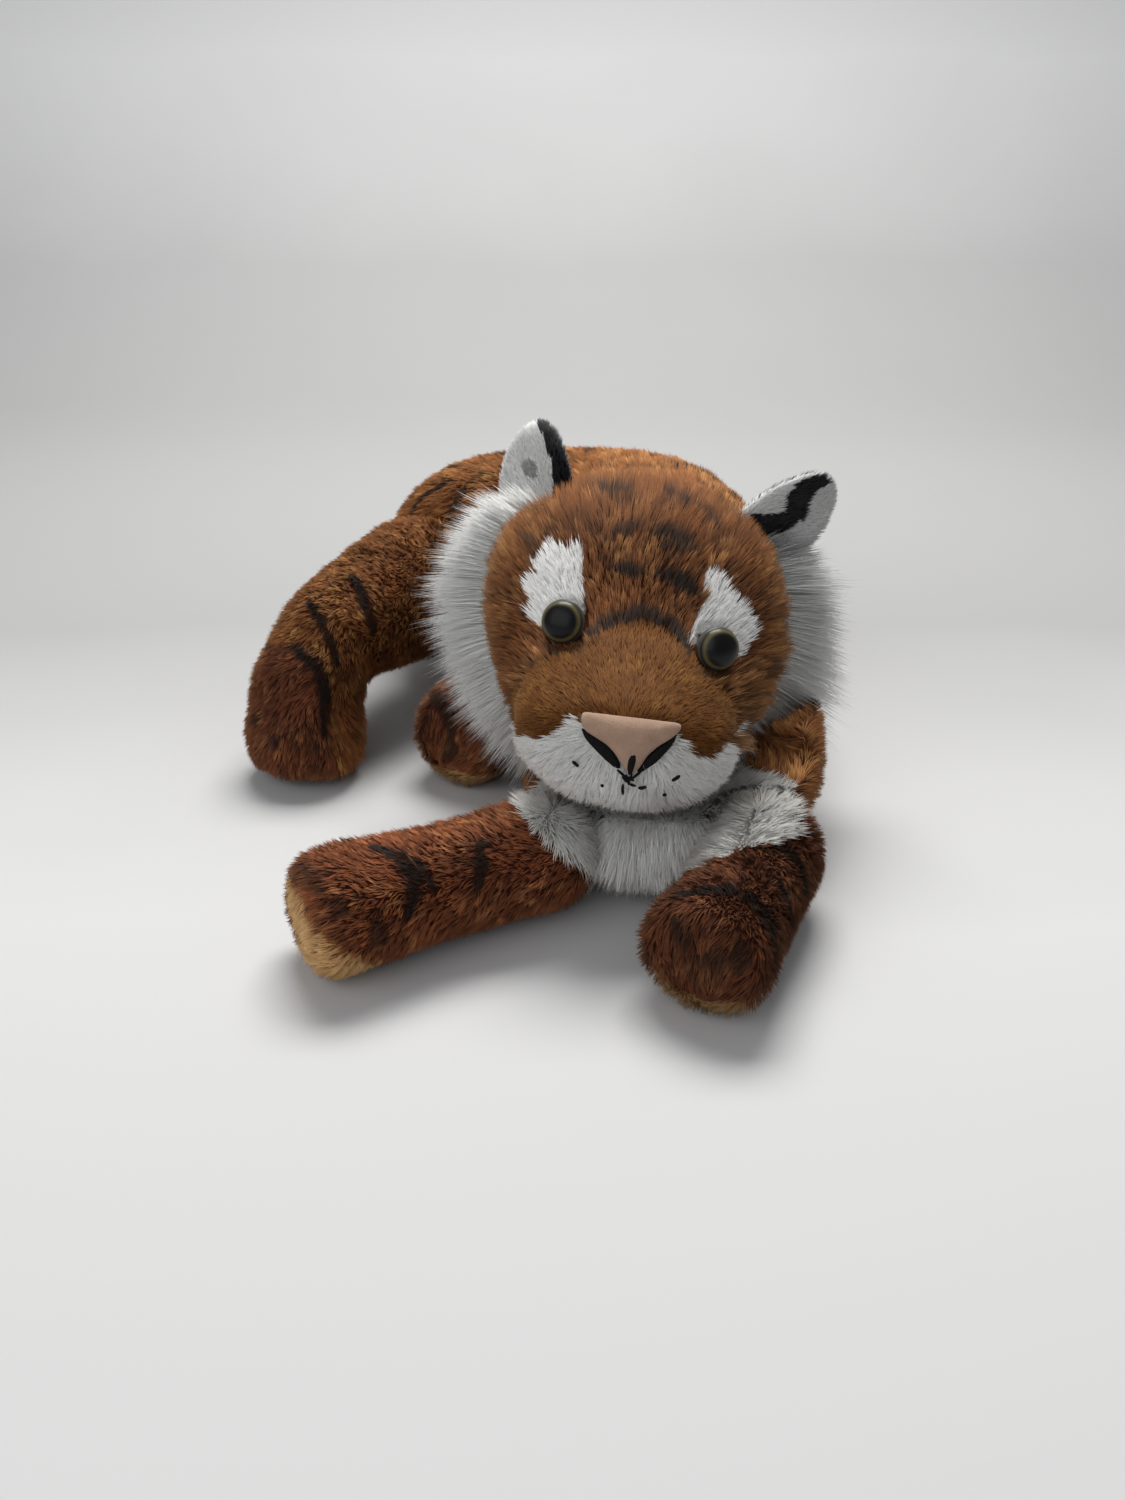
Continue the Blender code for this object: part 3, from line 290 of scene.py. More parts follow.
# Each body's pile lies along a path of points in millimetres, or away from one point. Outlines in pixels
# of the photograph say where the side that the camera sees has another pile.
coats = {
    "trunk": coatOf(
        {"body_cover": "rust", "belly_panel": "white", "chest_bib": "bib"}, ["body_stuffing"],
        path=[(0, -60, 60), (4, 30, 60), (10, 130, 60), (10, 190, 60), (-10, 225, 60), (-52, 240, 60),
              (-95, 222, 60), (-125, 185, 60)],
        drop=0.25, voxel=3.0, parts=4,
        patches=[
            ("rust", [(400, 600), (508, 600), (514, 780), (520, 812), (512, 900), (400, 900)]),
            ("rust", [(793, 600), (900, 600), (900, 900), (793, 900)]),
        ]),
    "head": coatOf(
        {"head_cover": "crown", "snout_cover": "tan", "muzzle_cover": "white"}, ["head_stuffing"],
        awayFrom=(0, -112, -34), padding=0.9, parts=2,
        patches=[
            ("crown", [(480, 400), (830, 400), (830, 735), (742, 735), (700, 640), (560, 640), (516, 693), (516, 735),
                       (480, 735)]),
            ("white", [(524, 742), (536, 741), (546, 738), (554, 727), (567, 716), (586, 726), (676, 734), (694, 742),
                       (733, 735), (745, 722), (775, 735), (800, 780), (760, 850), (520, 850), (500, 780)]),
            ("cheek", [(738, 668), (775, 640), (800, 600), (812, 640), (814, 680), (797, 708), (776, 732), (752, 754),
                       (738, 754), (734, 740), (746, 726), (741, 704)]),
            ("tan", [(506, 696), (506, 722), (514, 738), (536, 741), (552, 737), (567, 717), (581, 713), (600, 724),
                     (631, 729), (660, 732), (681, 726), (690, 737), (690, 753), (700, 760), (720, 758), (733, 742),
                     (743, 727), (739, 707), (729, 690), (713, 677), (698, 664), (688, 650), (677, 633), (660, 621),
                     (644, 615), (628, 615),
                     (611, 620), (595, 631), (582, 642), (568, 647), (551, 652), (533, 660), (521, 674)]),
            ("brow", [(549, 537), (558, 541), (568, 541), (578, 538), (582, 546), (582, 572), (583, 601), (578, 608),
                      (561, 604), (545, 611), (540, 624), (530, 618), (522, 611), (530, 598), (522, 587), (521, 579),
                      (532, 569), (529, 559), (539, 549)]),
            ("brow", [(713, 568), (726, 577), (735, 589), (748, 603), (756, 621), (761, 627), (754, 641), (746, 653),
                      (739, 657), (733, 650), (728, 635), (717, 628), (705, 628), (695, 640), (690, 638), (698, 621),
                      (700, 610), (706, 598), (708, 584), (708, 572)]),
        ]),
    # The right foreleg's pile colour is raised by its factor as painted light.
    "foreleg_right": legCoat(
        "foreleg_right", "russet", shade=1.35, path=[(-30, -26, 30), (-48, -35, 30), (-100, -62, 28), (-150, -88, 24)],
        patches=[
            ("bib", bibOutline),
            ("sole", [(262, 862), (287, 868), (295, 890), (303, 914), (316, 934), (334, 950), (356, 961), (378, 967),
                      (384, 1000), (340, 1000), (270, 950)]),
        ]),
    # The left foreleg's pile colour is lowered by its factor as painted shade.
    "foreleg_left": legCoat(
        "foreleg_left", "russet", shade=0.80, path=[(58, -8, 30), (48, -35, 30), (28, -78, 28), (5, -122, 24)],
        patches=[
            ("bib", bibOutline),
            ("sole", [(612, 925), (636, 938), (646, 966), (668, 988), (700, 1002), (738, 1006), (772, 1000),
                      (790, 1012), (780, 1050), (680, 1050), (612, 1000)]),
        ]),
    "hind_leg_right": legCoat(
        "hind_leg_right", "rust", drop=0.0, voxel=2.8, parts=2, soleTop=7,
        path=[(-100, 215, 70), (-121, 179, 72), (-160, 115, 72), (-176, 92, 45), (-182, 85, 0)],
        patches=[("russet", [(220, 640), (262, 640), (292, 645), (318, 668), (330, 700), (330, 745), (345, 800),
                             (220, 800)])]),
    "hind_leg_left": legCoat(
        "hind_leg_left", "russet", path=[(-48, 160, 30), (-61, 134, 30), (-98, 66, 26)],
        patches=[("sole", [(390, 715), (411, 728), (420, 752), (436, 776), (464, 790), (466, 820), (400, 820),
                           (385, 770)])]),
    "tail": coatOf(
        {"tail_cover": "rust"}, ["tail_stuffing"], drop=0.1, voxel=2.2,
        path=[(-136, 240, 44), (-148, 268, 40), (-140, 300, 26), (-100, 325, 16), (-50, 325, 14), (0, 290, 13)]),
    "ear_left": earCoat(
        "ear_left", path=[(51, 72, 129), (92, 66, 158)], stretch=[((41, -6, 29), 1.30), ((-29, 0, 41), 1.30)],
        patches=[
            ("earFront", [(700, 440), (900, 440), (900, 600), (700, 600)]),
            ("earBack", [(746, 521), (754, 514), (788, 510), (792, 495), (803, 481), (817, 472), (832, 470), (836, 480),
                         (818, 495), (809, 518), (789, 536), (769, 541), (757, 537), (746, 531)]),
        ]),
    "ear_right": earCoat(
        "ear_right", path=[(-50, 76, 147), (-53, 84, 190)], stretch=[((1, 0, 0), 1.60)],
        patches=[
            ("earFront", [(480, 400), (620, 400), (620, 560), (480, 560)]),
            ("earBack", [(537, 400), (537, 424), (543, 443), (548, 457), (551, 478), (553, 520), (620, 520),
                         (620, 400)]),
            # Painted shade in the ear's dimple
            ("earDimpleShade", [(520, 459), (526, 456), (533, 458), (535, 466), (532, 473), (524, 474), (519, 468)]),
        ]),
}

# Dark stripes of the print, and lines of painted shade along the seam over the snout and under the eyes: the half width
# of each, how dark it is and pixels of the photograph that it runs through
stripeAndShadeRows = {
    "trunk": [
        (2.3, 0.98, [(447, 478), (440, 482), (425, 492), (413, 505), (406, 521)]),
        (2.9, 1.00, [(412, 486), (405, 496), (385, 520), (374, 556)]),
        (2.2, 0.80, [(480, 470), (462, 486), (452, 508), (446, 530)]),
    ],
    "head": [
        (3.5, 0.86, [(594, 487), (608, 489), (630, 490)]),
        (3.2, 0.80, [(666, 492), (680, 495), (697, 500)]),
        (2.9, 0.80, [(698, 505), (706, 513), (720, 522)]),
        (2.6, 0.75, [(616, 527), (630, 525), (640, 522)]),
        (3.2, 0.92, [(655, 527), (672, 530), (694, 538)]),
        (2.6, 0.75, [(664, 541), (684, 545), (700, 548)]),
        (3.2, 0.98, [(614, 567), (628, 567), (641, 570)]),
        (3.5, 1.00, [(660, 570), (680, 577), (697, 590)]),
        (2.6, 0.69, [(521, 533), (528, 539), (535, 547)]),
        (2.3, 0.80, [(680, 456), (694, 459), (706, 464)]),
        (2.0, 0.80, [(732, 474), (736, 482), (740, 489)]),
        # A painted shadow along the seam over the snout
        (2.5, 0.95, [(580, 634), (600, 622), (618, 613), (637, 609), (656, 612), (673, 621), (686, 634), (692, 648)]),
        # Dark fur under the eyes, partly painted shade of the eye sockets
        (1.9, 0.69, [(543, 641), (556, 648), (571, 648), (583, 640)]),
        (1.9, 0.69, [(694, 664), (706, 672), (720, 674), (733, 668)]),
        (3.8, 0.92, [(801, 664), (790, 680), (776, 700), (757, 728)]),
        (2.6, 0.69, [(792, 640), (776, 656), (762, 676)]),
    ],
    "hind_leg_right": [
        (2.8, 1.00, [(340, 548), (352, 572), (366, 604), (376, 634)]),
        (2.5, 1.00, [(304, 596), (318, 618), (330, 640), (338, 664)]),
        (3.0, 1.00, [(264, 640), (290, 645), (318, 668), (328, 702), (325, 738)]),
        (3.8, 0.80, [(249, 716), (254, 724)]),
        (3.8, 0.80, [(270, 738), (274, 748)]),
    ],
    "hind_leg_left": [
        (3.5, 0.80, [(430, 690), (446, 712), (452, 740)]),
        (3.2, 0.69, [(452, 740), (446, 762), (440, 780)]),
    ],
    "foreleg_right": [
        (3.2, 1.00, [(345, 830), (372, 842), (400, 855), (415, 880), (408, 920), (400, 965)]),
        (2.5, 0.98, [(415, 858), (435, 890), (440, 950)]),
        (2.8, 0.98, [(455, 803), (480, 838), (478, 895)]),
        (4.3, 0.57, [(290, 868), (310, 878), (318, 892)]),
        (4.3, 0.63, [(330, 905), (345, 912)]),
        (4.1, 0.69, [(376, 925), (384, 945)]),
    ],
    "foreleg_left": [
        (3.3, 1.00, [(673, 892), (705, 886), (736, 887), (761, 901), (779, 932), (782, 973)]),
        (2.8, 0.98, [(714, 843), (761, 836), (796, 855), (811, 887)]),
        (4.3, 0.63, [(672, 925), (684, 945)]),
        (4.3, 0.69, [(706, 955), (716, 972)]),
        (4.1, 0.69, [(742, 950), (738, 972)]),
    ],
}
stripeAndShadeMarks = {body: [{"pixels": pixels, "half": half, "dark": dark} for half, dark, pixels in rows]
           for body, rows in stripeAndShadeRows.items()}


def addBands(body, rows, half, dark):
    # Stripes on the sides that the camera doesn't see: each goes round a place on the body's middle line,
    # from one angle from the top to another, in degrees, and leans by so many millimetres on its way
    for place, along, first, last, lean in rows:
        stripeAndShadeMarks.setdefault(body, []).append({"round": place, "along": along, "from": first, "to": last, "lean": lean,
                                             "half": half, "dark": dark})


addBands("trunk", [
    ((10, 60, 62), (0, 1, 0), 14, 78, 10), ((10, 84, 62), (0, 1, 0), 8, 58, 6), ((10, 112, 60), (0, 1, 0), 16, 92, 12),
    ((10, 140, 60), (0, 1, 0), 10, 66, 8), ((10, 166, 60), (0, 1, 0), 18, 98, 12),
    ((10, 190, 60), (-0.2, 1, 0), 8, 70, 6), ((4, 28, 60), (0, 1, 0), 30, 84, 6),
    ((0, 206, 60), (-0.5, 1, 0), 6, 62, 6), ((-12, 220, 60), (-0.8, 1, 0), 22, 94, 8),
    ((-30, 228, 58), (-1, 0.5, 0), 8, 66, 6),
    ((-50, 236, 58), (-1, 0, 0), 20, 92, 8), ((-70, 233, 58), (-1, -0.2, 0), 6, 64, 6),
    ((-90, 222, 58), (-1, -0.6, 0), 16, 90, 8), ((-108, 206, 58), (-1, -1, 0), 8, 66, 6),
], 2.6, 0.92)
addBands("tail", [
    ((-142, 254, 42), (-0.4, 1, -0.1), -150, 150, 3), ((-149, 276, 37), (0, 1, -0.4), -160, 160, 3),
    ((-143, 297, 28), (0.5, 1, -0.5), -150, 150, 3), ((-124, 312, 21), (1, 0.7, -0.3), -160, 160, 3),
    ((-100, 324, 16), (1, 0.2, 0), -150, 150, 3), ((-75, 326, 15), (1, 0, 0), -160, 160, 3),
    ((-50, 325, 14), (1, -0.2, 0), -150, 150, 3), ((-26, 310, 13), (0.8, -0.6, 0), -160, 160, 3),
], 3.0, 0.90)
addBands("hind_leg_right", [
    ((-128, 168, 72), (-0.5, -0.85, 0), 30, 104, 6), ((-141, 146, 72), (-0.5, -0.85, 0), 38, 112, 6),
    ((-154, 125, 70), (-0.5, -0.85, 0), 34, 104, 6),
], 2.6, 0.90)
addBands("foreleg_right", [
    ((-76, -49, 28), (-0.89, -0.46, 0), 24, 108, 5), ((-98, -60, 28), (-0.89, -0.46, 0), 30, 116, 5),
    ((-120, -72, 27), (-0.89, -0.46, 0), 22, 104, 5),
], 2.6, 0.90)
addBands("foreleg_left", [
    ((38, -56, 28), (-0.44, -0.9, 0), -30, -108, 5), ((28, -76, 28), (-0.44, -0.9, 0), -34, -112, 5),
    ((17, -98, 27), (-0.44, -0.9, 0), -28, -104, 5),
], 2.6, 0.90)
addBands("head", [
    ((-6, 66, 104), (1, 0, 0), -32, -58, 0), ((14, 62, 104), (0.2, 1, 0), -50, -82, 4),
    ((10, 78, 104), (0, 1, 0), -34, -72, 4), ((-22, 78, 104), (0, 1, 0), 34, 72, 4),
    ((-22, 62, 104), (0, 1, 0), 46, 76, 4),
], 2.2, 0.85)


def placed(name, data):
    made = bpy.data.objects.new(name, data)
    bpy.context.scene.collection.objects.link(made)
    return made


def joined(name, nodes):
    # One mesh of several CAD nodes
    points, faces = [], []
    for node in nodes:
        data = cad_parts[node].data
        start = len(points)
        points += [v.co.copy() for v in data.vertices]
        faces += [tuple(start + k for k in face.vertices) for face in data.polygons]
    mesh = bpy.data.meshes.new(name)
    mesh.from_pydata(points, [], faces)
    return mesh


def nodeTree(node):
    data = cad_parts[node].data
    return BVHTree.FromPolygons([v.co for v in data.vertices], [tuple(f.vertices) for f in data.polygons])


def surfaceTree(points, corners):
    return BVHTree.FromPolygons([Vector(p) for p in points], corners.tolist())


def triangles(mesh):
    mesh.calc_loop_triangles()
    corners = np.zeros(len(mesh.loop_triangles) * 3, np.int32)
    mesh.loop_triangles.foreach_get("vertices", corners)
    return corners.reshape(-1, 3)


def coordinates(mesh):
    places = np.zeros(len(mesh.vertices) * 3)
    mesh.vertices.foreach_get("co", places)
    return places.reshape(-1, 3)


def largestPart(points, corners):
    # The outer surface alone: the part of the mesh with the widest box
    label = np.arange(len(points))
    while True:
        low = label[corners].min(axis=1)
        after = label.copy()
        for k in range(3):
            np.minimum.at(after, corners[:, k], low)
        after = after[after]
        if np.array_equal(after, label):
            break
        label = after
    names, sizes = np.unique(label, return_counts=True)
    widest = max(names[sizes > 50], key=lambda n: np.ptp(points[label == n], axis=0).prod())
    kept = label == widest
    index = np.cumsum(kept) - 1
    return points[kept], index[corners[kept[corners[:, 0]]]]


def vertexNormals(points, corners):
    a, b, c = (points[corners[:, k]] for k in range(3))
    flat = np.cross(b - a, c - a)
    total = np.zeros_like(points)
    for k in range(3):
        np.add.at(total, corners[:, k], flat)
    return unit(total)


def relaxed(values, corners, times, keep=0.5):
    # Averages a value or a place with those of its neighbours
    ends = np.concatenate([corners[:, [0, 1]], corners[:, [1, 2]], corners[:, [2, 0]]])
    ends = np.concatenate([ends, ends[:, ::-1]])
    count = np.zeros(len(values))
    np.add.at(count, ends[:, 0], 1)
    shape = (-1,) + (1,) * (values.ndim - 1)
    for _ in range(times):
        total = np.zeros_like(values)
        np.add.at(total, ends[:, 0], values[ends[:, 1]])
        values = values * keep + total / np.maximum(count, 1).reshape(shape) * (1 - keep)
    return values


def makeSkin(coat):
    # The stuffed form under the pile: the CAD covers made one smooth surface, then moved inwards
    rough = placed("rough", joined("rough", coat["form"]))
    voxels = rough.modifiers.new("voxels", "REMESH")
    voxels.mode, voxels.voxel_size = "VOXEL", coat["voxel"] * mm
    mesh = rough.evaluated_get(bpy.context.evaluated_depsgraph_get()).to_mesh()
    points, corners = largestPart(coordinates(mesh), triangles(mesh))
    bpy.data.objects.remove(rough)
    points = relaxed(points, corners, 6)
    normals = vertexNormals(points, corners)
    covers = [nodeTree(node) for node in coat["zones"]]
    away = np.array([[cover.find_nearest(Vector(p))[3] for cover in covers] for p in points])
    coverPiles = np.array([pileNames.index(pile) for pile in coat["zones"].values()])
    depth = relaxed(pileTable["depth"][coverPiles[away.argmin(axis=1)]] * mm, corners, 4)
    for axis, factor in coat.get("stretch", []):
        way = unit(np.array(axis, float))
        points = points + np.outer((points - np.array(coat["path"][0]) * mm) @ way * (factor - 1), way)
        normals = vertexNormals(points, corners)
    inner = relaxed(points - normals * depth[:, None], corners, 3)
    return {"points": inner, "outer": points, "corners": corners, "normals": vertexNormals(inner, corners),
            "away": away, "covers": coverPiles}


skins = {body: makeSkin(coat) for body, coat in coats.items()}
trees = {body: surfaceTree(skin["points"], skin["corners"]) for body, skin in skins.items()}
outerTrees = {body: surfaceTree(skin["outer"], skin["corners"]) for body, skin in skins.items()}
print("Skins made:", {body: len(skin["points"]) for body, skin in skins.items()})


def isInside(tree, place):
    # A line from inside a closed surface crosses it an odd number of times
    way, crossings = Vector((0.31, -0.52, 0.80)).normalized(), 0
    hit = tree.ray_cast(place, way)[0]
    while hit is not None and crossings < 40:
        crossings += 1
        hit = tree.ray_cast(hit + way * 1e-5, way)[0]
    return crossings % 2 == 1


def hiddenShare(body, points, normals):
    # 1 where a place of the skin is inside another body, so that no pile is wanted there
    hidden = np.zeros(len(points))
    for other, tree in trees.items():
        low, high = skins[other]["points"].min(axis=0), skins[other]["points"].max(axis=0)
        if other != body:
            lifted = points + normals * 2.5 * mm
            for k in np.nonzero(((lifted > low) & (lifted < high)).all(axis=1))[0]:
                if isInside(tree, Vector(lifted[k])):
                    hidden[k] = 1
    return hidden


for body, skin in skins.items():
    skin["hidden"] = hiddenShare(body, skin["points"], skin["normals"])
print("Hidden places found")


def pileAt(coat, skin, points, normals, away, seed):
    # The pile that grows at each place: that of the nearest cover, then what the outlines say of the
    # place over which its hair lies
    wobble = softNoise(points, 3 * mm, seed)[:, None] * 1.2 * mm
    sign = np.array([(-1) ** k * 0.5 for k in range(away.shape[1])])
    pile = skin["covers"][(away + wobble * sign).argmin(axis=1)]
    camera = np.array(photoCamera["place"])
    seen = ((camera - points) * normals).sum(axis=1) > -0.02
    ragged = np.stack([softNoise(points, 2.2 * mm, seed + 1), softNoise(points, 2.2 * mm, seed + 2)], axis=1)
    lying = points + normals * 2.5 * mm + flowAt(points, normals, coat) * 2.0 * mm
    pixels = photoPixels(lying) + ragged * 3.0
    if "soleTop" in coat:
        high = points[:, 2] > (coat["soleTop"] + softNoise(points, 6 * mm, seed + 3) * 1.5) * mm
        cover = skin["covers"][0]
        pile = np.where(high & (pile == pileNames.index("sole")), cover, pile)
    for name, outline in coat.get("patches", []):
        pile = np.where(seen & insideOutline(pixels, outline), pileNames.index(name), pile)
    return pile


def stripeAndShadeLines(body):
    lines = []
    eye = Vector(photoCamera["place"])
    for darkMark in stripeAndShadeMarks.get(body, []):
        if "pixels" in darkMark:
            found = [outerTrees[body].ray_cast(eye, photoRay(*pixel))[0] for pixel in darkMark["pixels"]]
        else:
            centre, along = Vector(darkMark["round"]) * mm, Vector(darkMark["along"]).normalized()
            side = along.cross(Vector((0, 0, 1))).normalized()
            up = side.cross(along)
            turns = [math.radians(darkMark["from"] + (darkMark["to"] - darkMark["from"]) * k / 8) for k in range(9)]
            found = [outerTrees[body].ray_cast(centre + along * darkMark["lean"] * mm * k / 8,
                                               up * math.cos(turn) + side * math.sin(turn))[0]
                     for k, turn in enumerate(turns)]
        places = [p for p in found if p is not None]
        if len(places) > 1:
            lines.append((np.array(places), darkMark["half"] * mm, darkMark["dark"]))
    return lines


def stripeAndShadeShare(points, normals, lines):
    # How dark a place is, with ragged edges and ends that narrow, measured along the skin
    share = np.zeros(len(points))
    ragged = softNoise(points, 2.5 * mm, 5) * 0.9 * mm
    for line, half, dark in lines:
        lengths = np.linalg.norm(np.diff(line, axis=0), axis=1)
        start = np.concatenate([[0], np.cumsum(lengths)])
        for k in range(len(line) - 1):
            way = line[k + 1] - line[k]
            along = np.clip((points - line[k]) @ way / (way @ way), 0, 1)
            gap = points - line[k] - along[:, None] * way
            high = (gap * normals).sum(axis=1)
            off = np.linalg.norm(gap - high[:, None] * normals, axis=1) + np.maximum(np.abs(high) - 9 * mm, 0)
            done = (start[k] + along * lengths[k]) / start[-1]
            wide = half * (0.45 + 0.55 * np.sin(np.pi * np.clip(done, 0, 1)) ** 0.6)
            share = np.maximum(share, dark * (1 - smoothStep(off + ragged, wide * 0.8, wide * 1.5)))
    return share


def flowAt(points, normals, coat, hanging=None):
    # The way the pile lies, along the skin; the bib's hangs down
    if "awayFrom" in coat:
        way = points - np.array(onHead(*coat["awayFrom"]))
    else:
        path = np.array(coat["path"], float) * mm
        best = np.full(len(points), np.inf)
        way = np.zeros_like(points)
        for a, b in zip(path, path[1:]):
            step = b - a
            along = np.clip((points - a) @ step / (step @ step), 0, 1)
            off = np.linalg.norm(points - a - along[:, None] * step, axis=1)
            nearer = off < best
            best[nearer] = off[nearer]
            way[nearer] = unit(step)
    way = unit(way)
    way[:, 2] -= coat["drop"]
    if hanging is not None:
        down = np.stack([points[:, 0] * 6, np.full(len(points), -0.2), np.full(len(points), -1.0)], axis=1)
        way = np.where(hanging[:, None], down, way)
    way -= (way * normals).sum(axis=1, keepdims=True) * normals
    return unit(way)


def scatter(skin, density, rng):
    # Places spread evenly over the skin, and a way to read there what its corners hold
    a, b, c = (skin["points"][skin["corners"][:, k]] for k in range(3))
    area = np.linalg.norm(np.cross(b - a, c - a), axis=1) / 2
    total = np.cumsum(area)
    count = int(total[-1] * density * 1e6)
    face = np.searchsorted(total, rng.random(count) * total[-1])
    u, v = rng.random(count), rng.random(count)
    over = u + v > 1
    u[over], v[over] = 1 - u[over], 1 - v[over]
    weights = np.stack([1 - u - v, u, v], axis=1)
    corner = skin["corners"][face]

    def read(values):
        shape = weights.reshape(weights.shape + (1,) * (values.ndim - 1))
        return (values[corner] * shape).sum(axis=1)

    return read


def clumped(roots, tips, size, pull, rng):
    # Pulls the tips of neighbouring hairs together into tufts
    chosen = {}
    for k, cell in enumerate(map(tuple, np.floor(roots / (size.mean() * mm)).astype(int).tolist())):
        chosen.setdefault(cell, k)
    tree = KDTree(len(chosen))
    for k in chosen.values():
        tree.insert(roots[k], k)
    tree.balance()
    leader = np.array([tree.find(r)[1] for r in roots])
    share = np.minimum(pull * (0.6 + 0.8 * rng.random(len(roots))), 0.9) * 0.9
    return tips + (tips[leader] - tips) * share[:, None], leader


def hairMesh(name, rings, widths, tips, normals, colours, finish, rng):
    # Slim spikes: rings of three corners, then a tip. Each brings its own place on the bake's map.
    count, steps = len(tips), len(rings)
    way = unit(tips - rings[0])
    side = unit(np.cross(way, normals + 1e-4))
    up = np.cross(way, side)
    turn = rng.random(count) * math.tau
    points = np.zeros((count, steps * 3 + 1, 3))
    shade = np.zeros_like(points)
    for r, (centre, width) in enumerate(zip(rings, widths)):
        for k in range(3):
            angle = turn + k * math.tau / 3
            out = side * np.cos(angle)[:, None] + up * np.sin(angle)[:, None]
            points[:, r * 3 + k] = centre + out * width[:, None] / 2
            shade[:, r * 3 + k] = unit(normals * 0.75 + out * 0.55)
    points[:, -1] = tips
    shade[:, -1] = unit(normals + way * 0.3)
    points[:, :, 2] = np.maximum(points[:, :, 2], 0.3 * mm)
    faces = []
    for r in range(steps - 1):
        for k in range(3):
            j = (k + 1) % 3
            faces += [(r * 3 + k, r * 3 + j, r * 3 + 3 + j), (r * 3 + k, r * 3 + 3 + j, r * 3 + 3 + k)]
    for k in range(3):
        faces.append((steps * 3 - 3 + k, steps * 3 - 3 + (k + 1) % 3, steps * 3))
    per = steps * 3 + 1
    corners = (np.array(faces)[None] + np.arange(count)[:, None, None] * per).reshape(-1, 3)
    mesh = bpy.data.meshes.new(name)
    mesh.vertices.add(count * per)
    mesh.vertices.foreach_set("co", points.ravel())
    mesh.loops.add(len(corners) * 3)
    mesh.loops.foreach_set("vertex_index", corners.ravel().astype(np.int32))
    mesh.polygons.add(len(corners))
    mesh.polygons.foreach_set("loop_start", np.arange(0, len(corners) * 3, 3, dtype=np.int32))
    mesh.polygons.foreach_set("loop_total", np.full(len(corners), 3, np.int32))
    mesh.update(calc_edges=True)
    mesh.shade_smooth()
    cells = math.ceil(math.sqrt(count))
    row, column = np.divmod(np.arange(count), cells)
    level = np.array([r / steps for r in range(steps) for _ in range(3)] + [1.0])
    across = np.array([0.25, 0.5, 0.75] * steps + [0.5])
    spots = np.stack([(column[:, None] + 0.2 + across * 0.6) / cells,
                      (row[:, None] + 0.2 + level * 0.6) / cells], axis=2)
    spots = spots.reshape(-1, 2)[corners.ravel()]
    mesh.uv_layers.new(name="OFBake").data.foreach_set("uv", spots.ravel().astype(np.float32))
    stored = mesh.color_attributes.new("coat", "FLOAT_COLOR", "POINT")
    lift = level[None, :, None]
    mixed = colours[0][:, None] * (1 - lift) + colours[1][:, None] * lift
    full = np.concatenate([mixed, np.ones((count, per, 1))], axis=2)
    stored.data.foreach_set("color", full.ravel().astype(np.float32))
    mesh.normals_split_custom_set_from_vertices(shade.reshape(-1, 3).tolist())
    made = placed(name, mesh)
    mesh.materials.append(finishes[finish].material)
    return made


def addSkin(body, coat, skin):
    mesh = bpy.data.meshes.new(body + "Skin")
    mesh.from_pydata(skin["points"].tolist(), [], skin["corners"].tolist())
    mesh.shade_smooth()
    pile = pileAt(coat, skin, skin["points"], skin["normals"], skin["away"], 3)
    roots = np.concatenate([pileTable["root"][pile], np.ones((len(pile), 1))], axis=1)
    mesh.color_attributes.new("coat", "FLOAT_COLOR", "POINT").data.foreach_set("color", roots.ravel())
    made = placed(body + "Skin", mesh)
    mesh.materials.append(finishes["backing"].material)
    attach(made, body)
    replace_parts(made, *coat["form"])


# Millimetres, except the facing and the counts. Hair that would lie over an eye is cut to a share of its length.
eye = {"facing": (0.30, -0.93, 0.10), "rise": 6.5, "clear": 9.6, "cut": 0.35, "reach": 25, "rim": 9.2, "edge": 1.6,
       "dome": 5.3, "top": 6.9, "around": 64, "rings": 22}


def eyeSeat(side):
    # The middle of a CAD eye's flange, and the way that the eye faces
    x, y, z = eye["facing"]
    facing = (headTurn() @ Vector((side * x, y, z))).normalized()
    places = [v.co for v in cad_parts["eye_left" if side > 0 else "eye_right"].data.vertices]
    middle = sum(places, Vector()) / len(places)
    top = max((p - middle).dot(facing) for p in places)
    return middle + facing * (top - eye["rise"] * mm), facing


def eyeGap(points):
    # How far each place is from the axis of the nearer eye, near that eye
    gap = np.full(len(points), np.inf)
    for side in (-1, 1):
        seat, facing = (np.array(v) for v in eyeSeat(side))
        off = points - seat
        along = off @ facing
        away = np.linalg.norm(off - along[:, None] * facing, axis=1)
        gap = np.where(np.abs(along) < eye["reach"] * mm, np.minimum(gap, away), gap)
    return gap


# Places on the face that the pile leaves bare: the nose's pad and the stitches under it
bare = [
    [(585, 716), (631, 722), (677, 727), (667, 738), (645, 753), (637, 768), (627, 768), (619, 755), (607, 742),
     (590, 733)],
    [(580, 727), (596, 733), (608, 741), (618, 758), (624, 772), (615, 770), (600, 756), (586, 742)],
    [(674, 733), (662, 748), (645, 763), (634, 771), (634, 778), (650, 768), (666, 752), (679, 737)],
]


# How a coat's hairs stray: the size in millimetres and the strength of each wave over the coat, then how much
# each hair differs. The crown's rim ahead of the skull's middle stands up in longer hair.
stray = {"swirl": [(22, 0.35), (7, 0.45)], "turn": 0.22, "lean": (9, 14), "tilt": 8, "length": (12, 0.15),
         # The coat's darker and lighter patches are partly the pile's own uneven tone and partly painted shade and
         # light of the brushed nap.
         "shortest": 0.72, "longest": 1.15, "sunk": 0.6, "patchyToneAndShade": [(6, 0.75), (15, 0.45)],
         # The coat's lighter golden patches are painted highlights, where the brushed pile would catch the light.
         "paintedHighlight": [(4, 0.6), (11, 0.5)]}
crownRim = {"starts": (-8, 6), "ends": (26, 44), "longer": 0.55}


